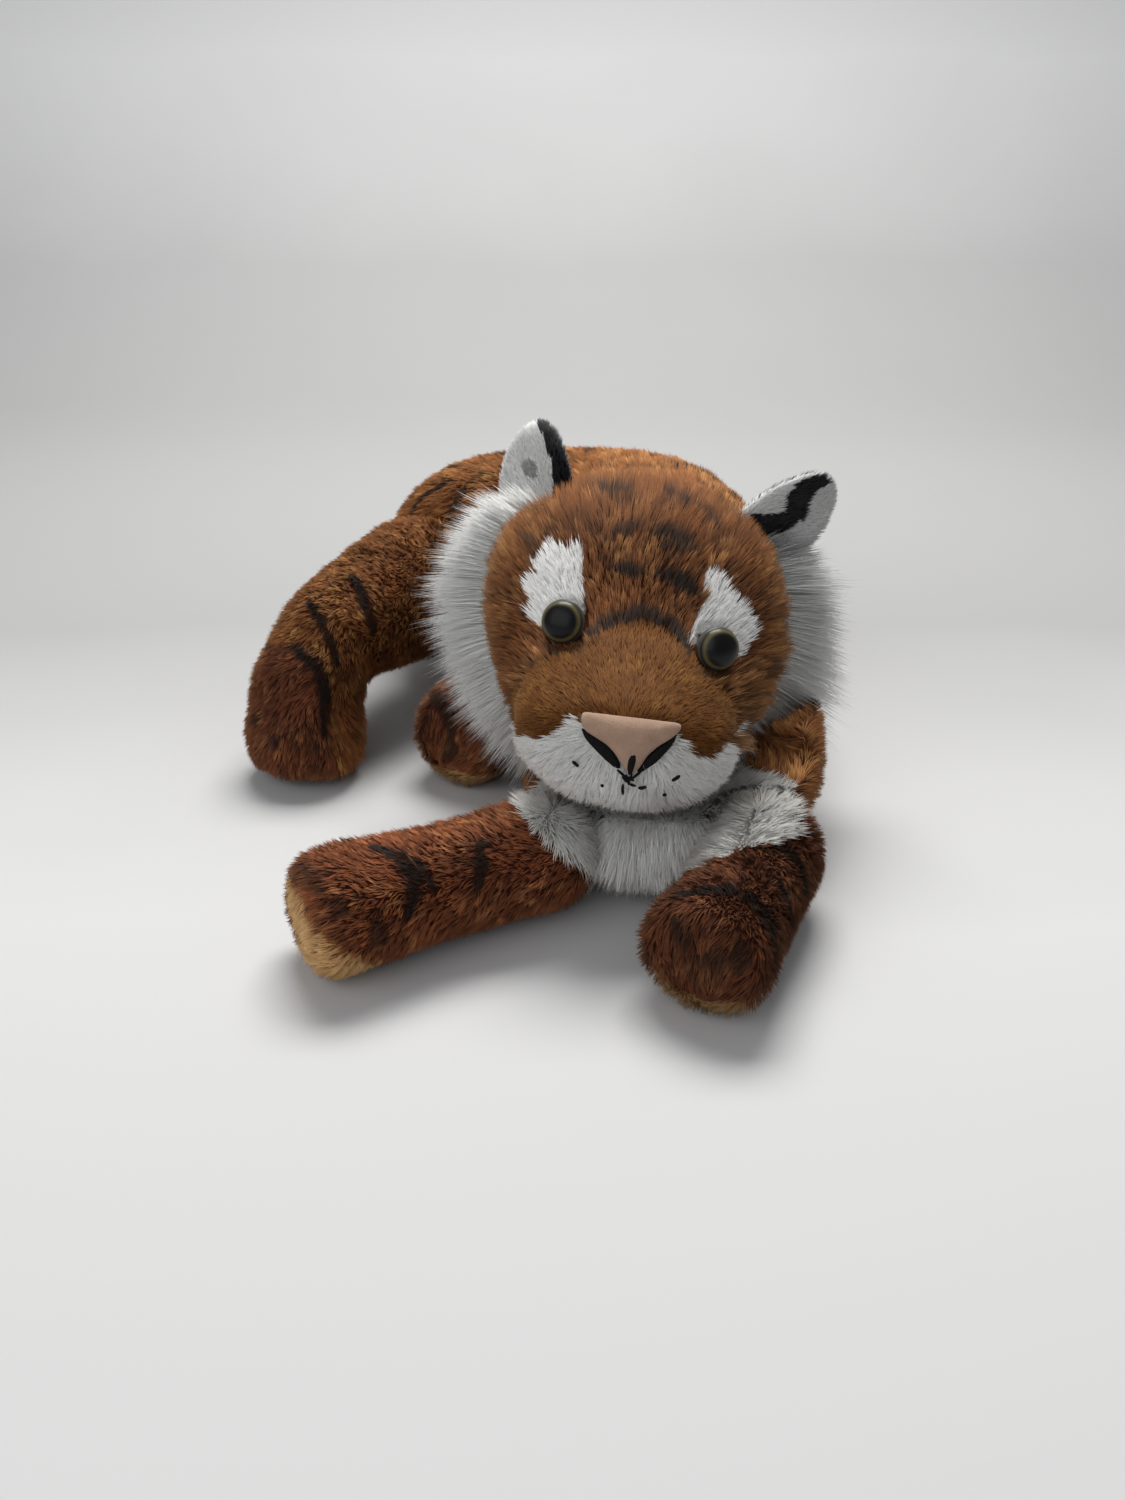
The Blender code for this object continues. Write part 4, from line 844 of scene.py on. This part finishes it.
def growCoat(body, coat, skin, seed):
    rng = np.random.default_rng(seed)
    wanted = {pileNames.index(name) for name, _ in coat.get("patches", [])} | set(skin["covers"].tolist())
    densest = pileTable["density"][sorted(wanted)].max()
    read = scatter(skin, densest, rng)
    roots, normals, away, hidden = (read(skin[k]) for k in ("points", "normals", "away", "hidden"))
    normals = unit(normals)
    pile = pileAt(coat, skin, roots, normals, away, 3)
    kept = (rng.random(len(roots)) < pileTable["density"][pile] / densest) & (hidden < 0.5)
    if body == "head":
        pixels = photoPixels(roots)
        for outline in bare:
            kept &= ~(insideOutline(pixels, outline) & (roots[:, 1] < 0))
        kept &= eyeGap(roots) > eye["clear"] * mm
    roots, normals, pile = roots[kept], normals[kept], pile[kept]
    count = len(roots)
    value = {key: table[pile] for key, table in pileTable.items()}
    flow = flowAt(roots, normals, coat, pile == pileNames.index("bib"))
    side = np.cross(normals, flow)
    swirl = waves(roots, seed + 1, *stray["swirl"])
    swirl += rng.normal(0, stray["turn"], count)
    flow = flow * np.cos(swirl)[:, None] + side * np.sin(swirl)[:, None]
    lean = np.radians(value["lean"] + waves(roots, seed + 3, stray["lean"]) + rng.normal(0, stray["tilt"], count))
    way = normals * np.cos(lean)[:, None] + flow * np.sin(lean)[:, None]
    length = value["length"] * mm * (1 + waves(roots, seed + 4, stray["length"]))
    length = length * rng.uniform(stray["shortest"], stray["longest"], count)
    if body == "head":
        ahead = -((roots - np.array(headAxes["middle"])) @ np.array(headTurn()))[:, 1] / mm
        rim = smoothStep(ahead, *crownRim["starts"]) * (1 - smoothStep(ahead, *crownRim["ends"]))
        length *= 1 + crownRim["longer"] * (rim * (pile == pileNames.index("crown")))
        over = eyeGap(roots + way * length[:, None]) < eye["clear"] * mm
        length = np.where(over, length * eye["cut"], length)
    tips, leader = clumped(roots, roots + way * length[:, None], value["clump"], value["pull"], rng)
    tuft = rng.normal(0, 0.45, count)[leader]
    # Darker and lighter patches: partly the pile's own uneven tone, partly painted shade and light of the brushed nap
    patchyToneAndShade = waves(roots, seed + 5, *stray["patchyToneAndShade"])
    vary = np.clip(1 + value["vary"] * (rng.normal(0, 0.25, count) + tuft + patchyToneAndShade), 0.30, 1.8)[:, None]
    # Painted light and shade per body: brighter on the right foreleg, darker on the left foreleg
    vary *= coat.get("shade", 1)
    # Painted highlights: tips mixed in patches towards a lighter golden colour, where the brushed pile would catch the
    # light
    paintedHighlightWaves = waves(roots, seed + 7, *stray["paintedHighlight"]) + tuft * 0.5
    paintedHighlight = (smoothStep(paintedHighlightWaves, 0.0, 0.75) * value["paintedHighlightShare"])[:, None]
    rootColour, tipColour = value["root"] * vary, (value["tip"] * (1 - paintedHighlight) + value["paintedHighlight"] * paintedHighlight) * vary
    # Darkening by the print's stripes, and on the head by the painted seam shadow and the painted shade under the eyes
    dark = stripeAndShadeShare(roots + (tips - roots) * 0.6, normals, stripeAndShadeLines(body))[:, None]
    dark *= np.isin(pile, [pileNames.index(n) for n in ("rust", "crown", "russet", "cheek", "tan")])[:, None]
    rootColour = rootColour * (1 - dark) + np.array(stripeAndShadeColour) * 0.6 * dark
    tipColour = tipColour * (1 - dark) + np.array(stripeAndShadeColour) * vary * dark
    width = value["width"] * mm * rng.uniform(0.8, 1.2, count)
    isBrow = pile == pileNames.index("brow")
    fromFront = np.nonzero(~isBrow)[0][np.argsort(roots[~isBrow, 1])]
    groups = [(f"{body}Pile{part + 1}", picked, coat["finish"], coat["slot"], [])
              for part, picked in enumerate(np.array_split(fromFront, coat["parts"]))]
    if isBrow.any():
        onLeft = roots[:, 0] > headAxes["middle"][0]
        for name, half in (("Left", onLeft), ("Right", ~onLeft)):
            groups.append(("brow" + name, np.nonzero(isBrow & half)[0], "white", "white_pile",
                           ["brow_patch_" + name.lower()]))
    for name, picked, finish, slot, nodes in groups:
        made = hairMesh(name, [roots[picked] - way[picked] * stray["sunk"] * mm], [width[picked]], tips[picked],
                        normals[picked], (rootColour[picked], tipColour[picked]), finish, rng)
        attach(made, body)
        if nodes:
            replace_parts(made, *nodes)
    return count


for number, (body, coat) in enumerate(coats.items()):
    addSkin(body, coat, skins[body])
    grown = growCoat(body, coat, skins[body], 100 + number * 10)
    print(f"Pile on {body}: {grown} hairs")

# Long hair behind the cheeks and at the sides of the bib. Layers: share of the hairs, their shortest and
# longest part of the full length, and their width in millimetres
ruff = {
    "left": {"length": 50, "from": -78, "to": 36, "node": "cheek_ruff_left"},
    "right": {"length": 37, "from": -72, "to": 46, "node": "cheek_ruff_right"},
    "behind": 4, "lead": 24, "band": 10, "density": 4.9, "droop": 0.12, "back": 0.10, "widest": 100.5, "edge": 16,
    "wave": 9, "turn": 6, "stray": 0.14, "lift": 0.15,
    "root": (0.80, 0.80, 0.76), "tip": (0.95, 0.95, 0.93),
}
layers = [(0.40, 0.40, 0.72, 0.56), (0.36, 0.60, 0.94, 0.46), (0.24, 0.82, 1.16, 0.32)]
fringe = {"length": 25, "from": -1, "to": 42, "low": 30, "high": 90, "density": 4.4, "droop": 0.10,
          "spread": (4, 30), "way": (0.70, -0.42, -0.72), "stray": 0.14, "lift": 0.30,
          "root": (0.60, 0.60, 0.56), "tip": (0.90, 0.90, 0.87)}
wisps = {"clump": 3.2, "pull": 0.30}


def longHair(name, body, settings, roots, normals, way, longest, seed, rng):
    # Slim bent hairs of several lengths, which droop a little towards their tips
    count = len(roots)
    layer = np.searchsorted(np.cumsum([share for share, _, _, _ in layers]), rng.random(count) * 0.999)
    low, high, width = (np.array([row[k] for row in layers])[layer] for k in (1, 2, 3))
    length = longest * (low + (high - low) * rng.random(count)) * (1 + softNoise(roots, 5 * mm, seed + 2) * 0.14)
    room = (ruff["widest"] - ruff["edge"] * rng.random(count) ** 2) * mm - roots[:, 0]
    length = np.where(way[:, 0] * length > room, room / np.maximum(way[:, 0], 0.05), length)
    fall = np.array([0, 0, -1.0]) * (length * settings["droop"])[:, None]

    def along(part):
        return roots + way * (length * part)[:, None] + fall * part * part

    tips, _ = clumped(roots, along(1.0), np.full(count, wisps["clump"]), np.full(count, wisps["pull"]), rng)
    bend = tips - along(1.0)
    rings = [along(0.0) - way * stray["sunk"] * mm, along(0.4) + bend * 0.2, along(0.75) + bend * 0.6]
    wide = width * mm * rng.uniform(0.85, 1.15, count)
    vary = (1 + rng.normal(0, 0.04, count) + softNoise(roots, 6 * mm, seed + 3) * 0.05)[:, None]
    colours = (np.array(settings["root"]) * vary, np.array(settings["tip"]) * vary)
    for place in (*rings, tips):
        place[:, 0] = np.minimum(place[:, 0], ruff["widest"] * mm)
    made = hairMesh(name, rings, [wide, wide * 0.85, wide * 0.6], tips, normals, colours, "white", rng)
    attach(made, body)
    return made


def growRuff(name, seed):
    settings, rng = ruff[name], np.random.default_rng(seed)
    side = 1 if name == "left" else -1
    read = scatter(skins["head"], ruff["density"], rng)
    roots, normals = read(skins["head"]["points"]), unit(read(skins["head"]["normals"]))
    turned = np.array(headTurn())
    local = (roots - np.array(headAxes["middle"])) @ turned / mm
    angle = np.degrees(np.arctan2(local[:, 2], local[:, 0] * side))
    share = (angle - settings["from"]) / (settings["to"] - settings["from"])
    lead = ruff["behind"] - ruff["lead"] * np.clip((4 - angle) / 43, 0, 1.3) ** 2
    kept = (share > 0) & (share < 1) & (np.abs(local[:, 1] - lead) < ruff["band"]) & (local[:, 0] * side > 10)
    roots, normals, angle, share = roots[kept], normals[kept], angle[kept], share[kept]
    count = len(roots)
    wave = softNoise(roots, 5 * mm, seed + 1) * ruff["wave"] + rng.normal(0, ruff["turn"], count)
    turn = np.radians(angle + wave)
    out = np.stack([side * np.cos(turn), ruff["back"] + rng.normal(0, ruff["stray"], count), np.sin(turn)], axis=1)
    way = unit(unit(out) @ turned.T + normals * ruff["lift"])
    swell = np.sin(np.pi * (0.16 + 0.70 * share)) ** 0.8
    made = longHair("ruff" + name.capitalize(), "head", ruff, roots, normals, way,
                    settings["length"] * mm * swell, seed, rng)
    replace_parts(made, settings["node"])
    return count


def growFringe(name, seed):
    # The bib's long side hair, which falls over the roots of the forelegs
    rng, side, skin = np.random.default_rng(seed), 1 if name == "Left" else -1, skins["trunk"]
    read = scatter(skin, fringe["density"], rng)
    roots, normals, away = (read(skin[k]) for k in ("points", "normals", "away"))
    normals = unit(normals)
    pile = pileAt(coats["trunk"], skin, roots, normals, away, 3)
    kept = (pile == pileNames.index("bib")) & (roots[:, 0] * side > fringe["from"] * mm) & (roots[:, 1] < 0)
    kept &= (roots[:, 2] > fringe["low"] * mm) & (roots[:, 2] < fringe["high"] * mm)
    kept &= roots[:, 0] * side < fringe["to"] * mm
    roots, normals = roots[kept], normals[kept]
    count = len(roots)
    near, far = fringe["spread"]
    outward, ahead, down = fringe["way"]
    spread = smoothStep(np.abs(roots[:, 0]), near * mm, far * mm)
    out = np.stack([side * outward * spread, np.full(count, ahead), np.full(count, down)], axis=1)
    way = unit(unit(out + rng.normal(0, fringe["stray"], (count, 3))) + normals * fringe["lift"])
    longHair("bibFringe" + name, "trunk", fringe, roots, normals, way,
             fringe["length"] * mm * (0.75 + 0.5 * spread), seed, rng)
    return count


print("Ruffs:", growRuff("left", 300), growRuff("right", 310), "hairs")
print("Bib fringe:", growFringe("Left", 320), growFringe("Right", 330), "hairs")

faceTree = surfaceTree(skins["head"]["outer"], skins["head"]["corners"])
faceNormals = vertexNormals(skins["head"]["outer"], skins["head"]["corners"])


def onFace(x, y, lift):
    # The place on the head's cover that shows at a pixel, lifted off it by so many millimetres
    hit, _, face, _ = faceTree.ray_cast(Vector(photoCamera["place"]), photoRay(x, y))
    normal = Vector(unit(faceNormals[skins["head"]["corners"][face]].sum(axis=0)))
    return hit + normal * lift * mm


def rounded(outline, count, passes):
    # The outline as so many even points, with softened corners
    closed = np.array(outline + outline[:1], float)
    lengths = np.concatenate([[0], np.cumsum(np.linalg.norm(np.diff(closed, axis=0), axis=1))])
    spots = np.linspace(0, lengths[-1], count, endpoint=False)
    points = np.stack([np.interp(spots, lengths, closed[:, k]) for k in (0, 1)], axis=1)
    for _ in range(passes):
        points = points * 0.5 + (np.roll(points, 1, axis=0) + np.roll(points, -1, axis=0)) * 0.25
    return points


def addPiece(name, points, faces, finish, body="head", smooth=True):
    mesh = bpy.data.meshes.new(name)
    mesh.from_pydata([tuple(p) for p in points], [], faces)
    mesh.validate()
    if smooth:
        mesh.shade_smooth()
    made = placed(name, mesh)
    mesh.materials.append(finish.material)
    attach(made, body)
    return made


def padOnFace(name, shape, finish):
    # A padded patch laid on the face: highest in its middle, with a rounded edge
    outline = rounded(shape["outline"], shape["around"], shape["passes"])
    middle = outline.mean(axis=0)
    points, faces, around = [onFace(*middle, shape["lift"] + shape["crown"])], [], shape["around"]
    steps = [(k / shape["rings"]) for k in range(1, shape["rings"] + 1)]
    rows = [(s, shape["lift"] + shape["crown"] * (1 - s ** shape["edge"])) for s in steps]
    rows += [(1.0, -1.5), (0.5, -1.5)]
    for s, lift in rows:
        points += [onFace(*(middle + (p - middle) * s), lift) for p in outline]
    points.append(onFace(*middle, -1.5))
    for i in range(around):
        j = (i + 1) % around
        faces.append((0, 1 + j, 1 + i))
        for r in range(len(rows) - 1):
            low, high = 1 + r * around, 1 + (r + 1) * around
            faces.append((low + i, low + j, high + j, high + i))
        last = 1 + (len(rows) - 1) * around
        faces.append((last + i, last + j, len(points) - 1))
    return addPiece(name, points, faces, finish)


def threadOnFace(name, shape, finish):
    # Stitches of round thread through pixels of the face, joined as one piece
    points, faces = [], []
    for line in shape["lines"]:
        places = [onFace(x, y, shape["lift"]) for x, y in line]
        dense = [places[k].lerp(places[k + 1], s / 4) for k in range(len(places) - 1) for s in range(4)] + [places[-1]]
        start, sides = len(points), 8
        for k, place in enumerate(dense):
            way = (dense[min(k + 1, len(dense) - 1)] - dense[max(k - 1, 0)]).normalized()
            side = way.orthogonal().normalized()
            up = way.cross(side)
            end = min(k, len(dense) - 1 - k)
            radius = shape["radius"] * mm * (0.45 if end == 0 else 0.85 if end == 1 else 1.0)
            for i in range(sides):
                turn = i * math.tau / sides
                points.append(place + (side * math.cos(turn) + up * math.sin(turn)) * radius)
        for k in range(len(dense) - 1):
            for i in range(sides):
                j = (i + 1) % sides
                a, b = start + k * sides, start + (k + 1) * sides
                faces.append((a + i, a + j, b + j, b + i))
        faces.append(tuple(start + i for i in reversed(range(sides))))
        faces.append(tuple(start + (len(dense) - 1) * sides + i for i in range(sides)))
    return addPiece(name, points, faces, finish)


def velourFinish():
    finish = Finish("noseVelour", 0.85, Sheen_Weight=0.35, Sheen_Roughness=0.4, Sheen_Tint=(1.0, 0.85, 0.78, 1))
    soft, grain = finish.noise(6, 2), finish.noise(0.5, 2)
    base = finish.ramp(soft, [(0.35, (0.30, 0.185, 0.125)), (0.65, (0.38, 0.245, 0.170))])
    nap = finish.ramp(grain, [(0.3, (0.22, 0.135, 0.09)), (0.7, (0.46, 0.31, 0.22))])
    finish.set("Base Color", finish.mix(0.35, base, nap))
    return finish.bump(grain, 0.25, 0.6)


def threadFinish():
    finish = Finish("blackThread", 0.75, Specular_IOR_Level=0.12)
    strand = finish.noise(0.4, 1)
    finish.set("Base Color", finish.ramp(strand, [(0.3, (0.003, 0.003, 0.003)), (0.7, (0.010, 0.009, 0.009))]))
    return finish.bump(strand, 0.2)


velour, thread = velourFinish(), threadFinish()

nose = {
    "outline": [(582, 712), (606, 715), (631, 718), (656, 721), (680, 724), (682, 729), (670, 739), (657, 746),
                (646, 756), (640, 766), (635, 772), (628, 772), (622, 764), (617, 755), (607, 744), (594, 736),
                (584, 730), (581, 721)],
    "around": 72, "passes": 2, "rings": 9, "lift": 1.2, "crown": 2.6, "edge": 3.0,
}
nosePad = padOnFace("nosePad", nose, velour)
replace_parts(nosePad, "nose_patch")

nostrils = {
    "Right": [(581, 727), (590, 734), (602, 740), (610, 747), (616, 757), (622, 768), (616, 768), (606, 760),
              (594, 748), (585, 738)],
    "Left": [(677, 733), (669, 741), (658, 748), (648, 757), (641, 766), (636, 774), (644, 770), (656, 762), (666, 752),
             (674, 742)],
    "Middle": [(630, 749), (636, 750), (635, 760), (632, 770), (628, 773), (627, 766), (628, 757)],
}
for name, outline in nostrils.items():
    lift = 3.0 if name == "Middle" else 0.9
    padOnFace("nostril" + name, {"outline": outline, "around": 36, "passes": 1, "rings": 4, "lift": lift, "crown": 0.7,
                                 "edge": 2.0}, thread)

mouth = {
    "lines": [[(617, 768), (625, 775), (634, 779)], [(642, 769), (633, 776), (624, 779)],
              [(626, 773), (629, 782), (636, 784)], [(632, 772), (628, 781), (622, 775)],
              [(623, 782), (622.5, 787), (623, 792)]],
    "lift": 1.6, "radius": 0.60,
}
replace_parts(threadOnFace("mouthStitches", mouth, thread), "mouth_stitching")

whiskers = {
    "lines": [[(573, 760), (577, 763), (579, 765)], [(671, 779), (675, 777), (679, 774)],
              [(638, 786), (642, 786), (646, 785)], [(601, 783), (604, 784)], [(662, 793), (666, 792)]],
    "lift": 1.5, "radius": 0.75,
}
threadOnFace("whiskerStitches", whiskers, thread)


def eyeFinish():
    # Black pupil, a thin olive and amber ring and a grey rim, under clear gloss. The grey at the rim is partly the
    # plastic's own and partly a painted highlight at the dome's edge.
    finish = Finish("eyePlastic", 0.35, Coat_Weight=0.5, Coat_Roughness=0.28, Coat_IOR=1.32, Specular_IOR_Level=0.1)
    ring = finish.node("ShaderNodeAttribute", {"attribute_name": "ring"}, None, 2)
    bands = [(0.0, (0.003, 0.003, 0.004)), (0.70, (0.004, 0.004, 0.005)), (0.76, (0.035, 0.030, 0.012)),
             (0.84, (0.115, 0.095, 0.038)), (0.90, (0.090, 0.078, 0.040)), (0.945, (0.020, 0.019, 0.015)),
             (0.99, (0.075, 0.075, 0.068))]
    streaks = finish.ramp(finish.noise(0.8, 2), [(0.3, (0.8, 0.8, 0.8)), (0.7, (1.0, 1.0, 1.0))])
    return finish.set("Base Color", finish.mix(1.0, finish.ramp(ring, bands), streaks, "MULTIPLY"))


def addEye(side, finish):
    # A shallow rim and a dome, as rings that each have a place on the eye's axis and a radius
    seat, facing = eyeSeat(side)
    across = facing.orthogonal().normalized()
    up = facing.cross(across)
    rim, around, rings = eye["rim"], eye["around"], eye["rings"]
    quarter = [math.pi / 2 * k / rings for k in range(rings)]
    rows = [(-3.0, 7.5), (-2.0, rim - 0.3), (0.2, rim), (1.0, rim + 0.1), (1.5, rim - 0.1)]
    rows += [(eye["edge"] + eye["dome"] * math.sin(turn), (rim - 0.25) * math.cos(turn)) for turn in quarter]
    points = [seat + facing * along * mm + (across * math.cos(t) + up * math.sin(t)) * radius * mm
              for along, radius in rows for t in (i * math.tau / around for i in range(around))]
    points.append(seat + facing * eye["top"] * mm)
    faces = [tuple(reversed(range(around)))]
    for r in range(len(rows) - 1):
        for i in range(around):
            j = (i + 1) % around
            faces.append((r * around + i, r * around + j, (r + 1) * around + j, (r + 1) * around + i))
    faces += [((len(rows) - 1) * around + i, (len(rows) - 1) * around + (i + 1) % around, len(points) - 1)
              for i in range(around)]
    name = "Left" if side > 0 else "Right"
    made = addPiece("eyeDome" + name, points, faces, finish)
    level = [radius / rim for _, radius in rows for _ in range(around)] + [0.0]
    made.data.attributes.new("ring", "FLOAT", "POINT").data.foreach_set("value", np.array(level, np.float32))
    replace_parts(made, "eye_" + name.lower())


eyePlastic = eyeFinish()
for side in (-1, 1):
    addEye(side, eyePlastic)

nylon = Finish("nylonWasher", 0.45, Specular_IOR_Level=0.4)
cloudy = nylon.noise(1.5, 2)
nylon.set("Base Color", nylon.ramp(cloudy, [(0.3, (0.62, 0.62, 0.58)), (0.7, (0.74, 0.74, 0.70))])).bump(cloudy, 0.05)
for name in ("left", "right"):
    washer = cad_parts["eye_washer_" + name]
    washer.data.materials.clear()
    washer.data.materials.append(nylon.material)
print("Face made")

# The paper's colour is painted light and shade: lighter at the front and at the top of the backdrop, darker between,
# going from the front to the top in shares of two metres
studio = {
    "curve": 0.75, "back": 0.95, "rise": 2.0, "wide": 3.0, "front": -2.0,
    "paintedLightAndShadeTones": [(0.0, (0.60, 0.60, 0.60)), (0.06, (0.54, 0.54, 0.54)), (0.17, (0.38, 0.38, 0.38)),
              (0.45, (0.43, 0.43, 0.43)), (0.75, (0.56, 0.56, 0.56)), (1.0, (0.86, 0.86, 0.86))],
}


def addSweep():
    # A sheet of paper: level under the toy, then curved up into the backdrop
    profile = [(studio["front"], 0.0)]
    for k in range(17):
        angle = math.pi / 2 * k / 16
        profile.append((studio["back"] + math.sin(angle) * studio["curve"], (1 - math.cos(angle)) * studio["curve"]))
    profile.append((profile[-1][0], studio["rise"]))
    points = [(x, y, z) for y, z in profile for x in (-studio["wide"], studio["wide"])]
    faces = [(2 * k, 2 * k + 1, 2 * k + 3, 2 * k + 2) for k in range(len(profile) - 1)]
    mesh = bpy.data.meshes.new("paperSweep")
    mesh.from_pydata(points, [], faces)
    mesh.shade_smooth()
    made = placed("paperSweep", mesh)
    paper = Finish("matPaper", 0.9, Specular_IOR_Level=0.2)
    parts = paper.node("ShaderNodeSeparateXYZ", None, {"Vector": paper.place()})
    depth, height = (Socket(paper, parts.link.node.outputs[k]) for k in (1, 2))
    # Painted light and shade along the paper, from the front up the backdrop
    far = (depth + height * 1.0 + paper.noise(220, 2) * 0.10) * 0.5
    paper.set("Base Color", paper.ramp(far, studio["paintedLightAndShadeTones"]))
    mesh.materials.append(paper.material)


addSweep()


def addLight(name, place, target, size, power, colour):
    lamp = bpy.data.lights.new(name, "AREA")
    lamp.shape, lamp.size, lamp.size_y = "RECTANGLE", *size
    lamp.energy, lamp.color = power, colour
    made = placed(name, lamp)
    made.location = place
    made.rotation_euler = (Vector(target) - Vector(place)).to_track_quat("-Z", "Y").to_euler()


addLight("ceilingBox", (0.0, 0.60, 1.30), (0, 0.02, 0), (0.9, 0.6), 25, (1.0, 0.99, 0.97))
addLight("frontFill", (-0.9, -1.3, 1.1), (0, 0, 0.05), (2.4, 1.8), 15, (0.97, 0.98, 1.0))

world = bpy.data.worlds.new("studioAir")
world.use_nodes = True
world.node_tree.nodes["Background"].inputs["Color"].default_value = (0.95, 0.97, 1.0, 1)
world.node_tree.nodes["Background"].inputs["Strength"].default_value = 0.24
bpy.context.scene.world = world
bpy.context.scene.view_settings.view_transform = "Standard"

camera = placed("photoCamera", bpy.data.cameras.new("photoCamera"))
camera.location = photoCamera["place"]
camera.rotation_euler = (math.radians(photoCamera["tilt"]), 0, 0)
camera.data.sensor_width = 36
camera.data.lens = 36 * photoCamera["lens"] / photoCamera["high"]
bpy.context.scene.camera = camera

print("Scene ready")
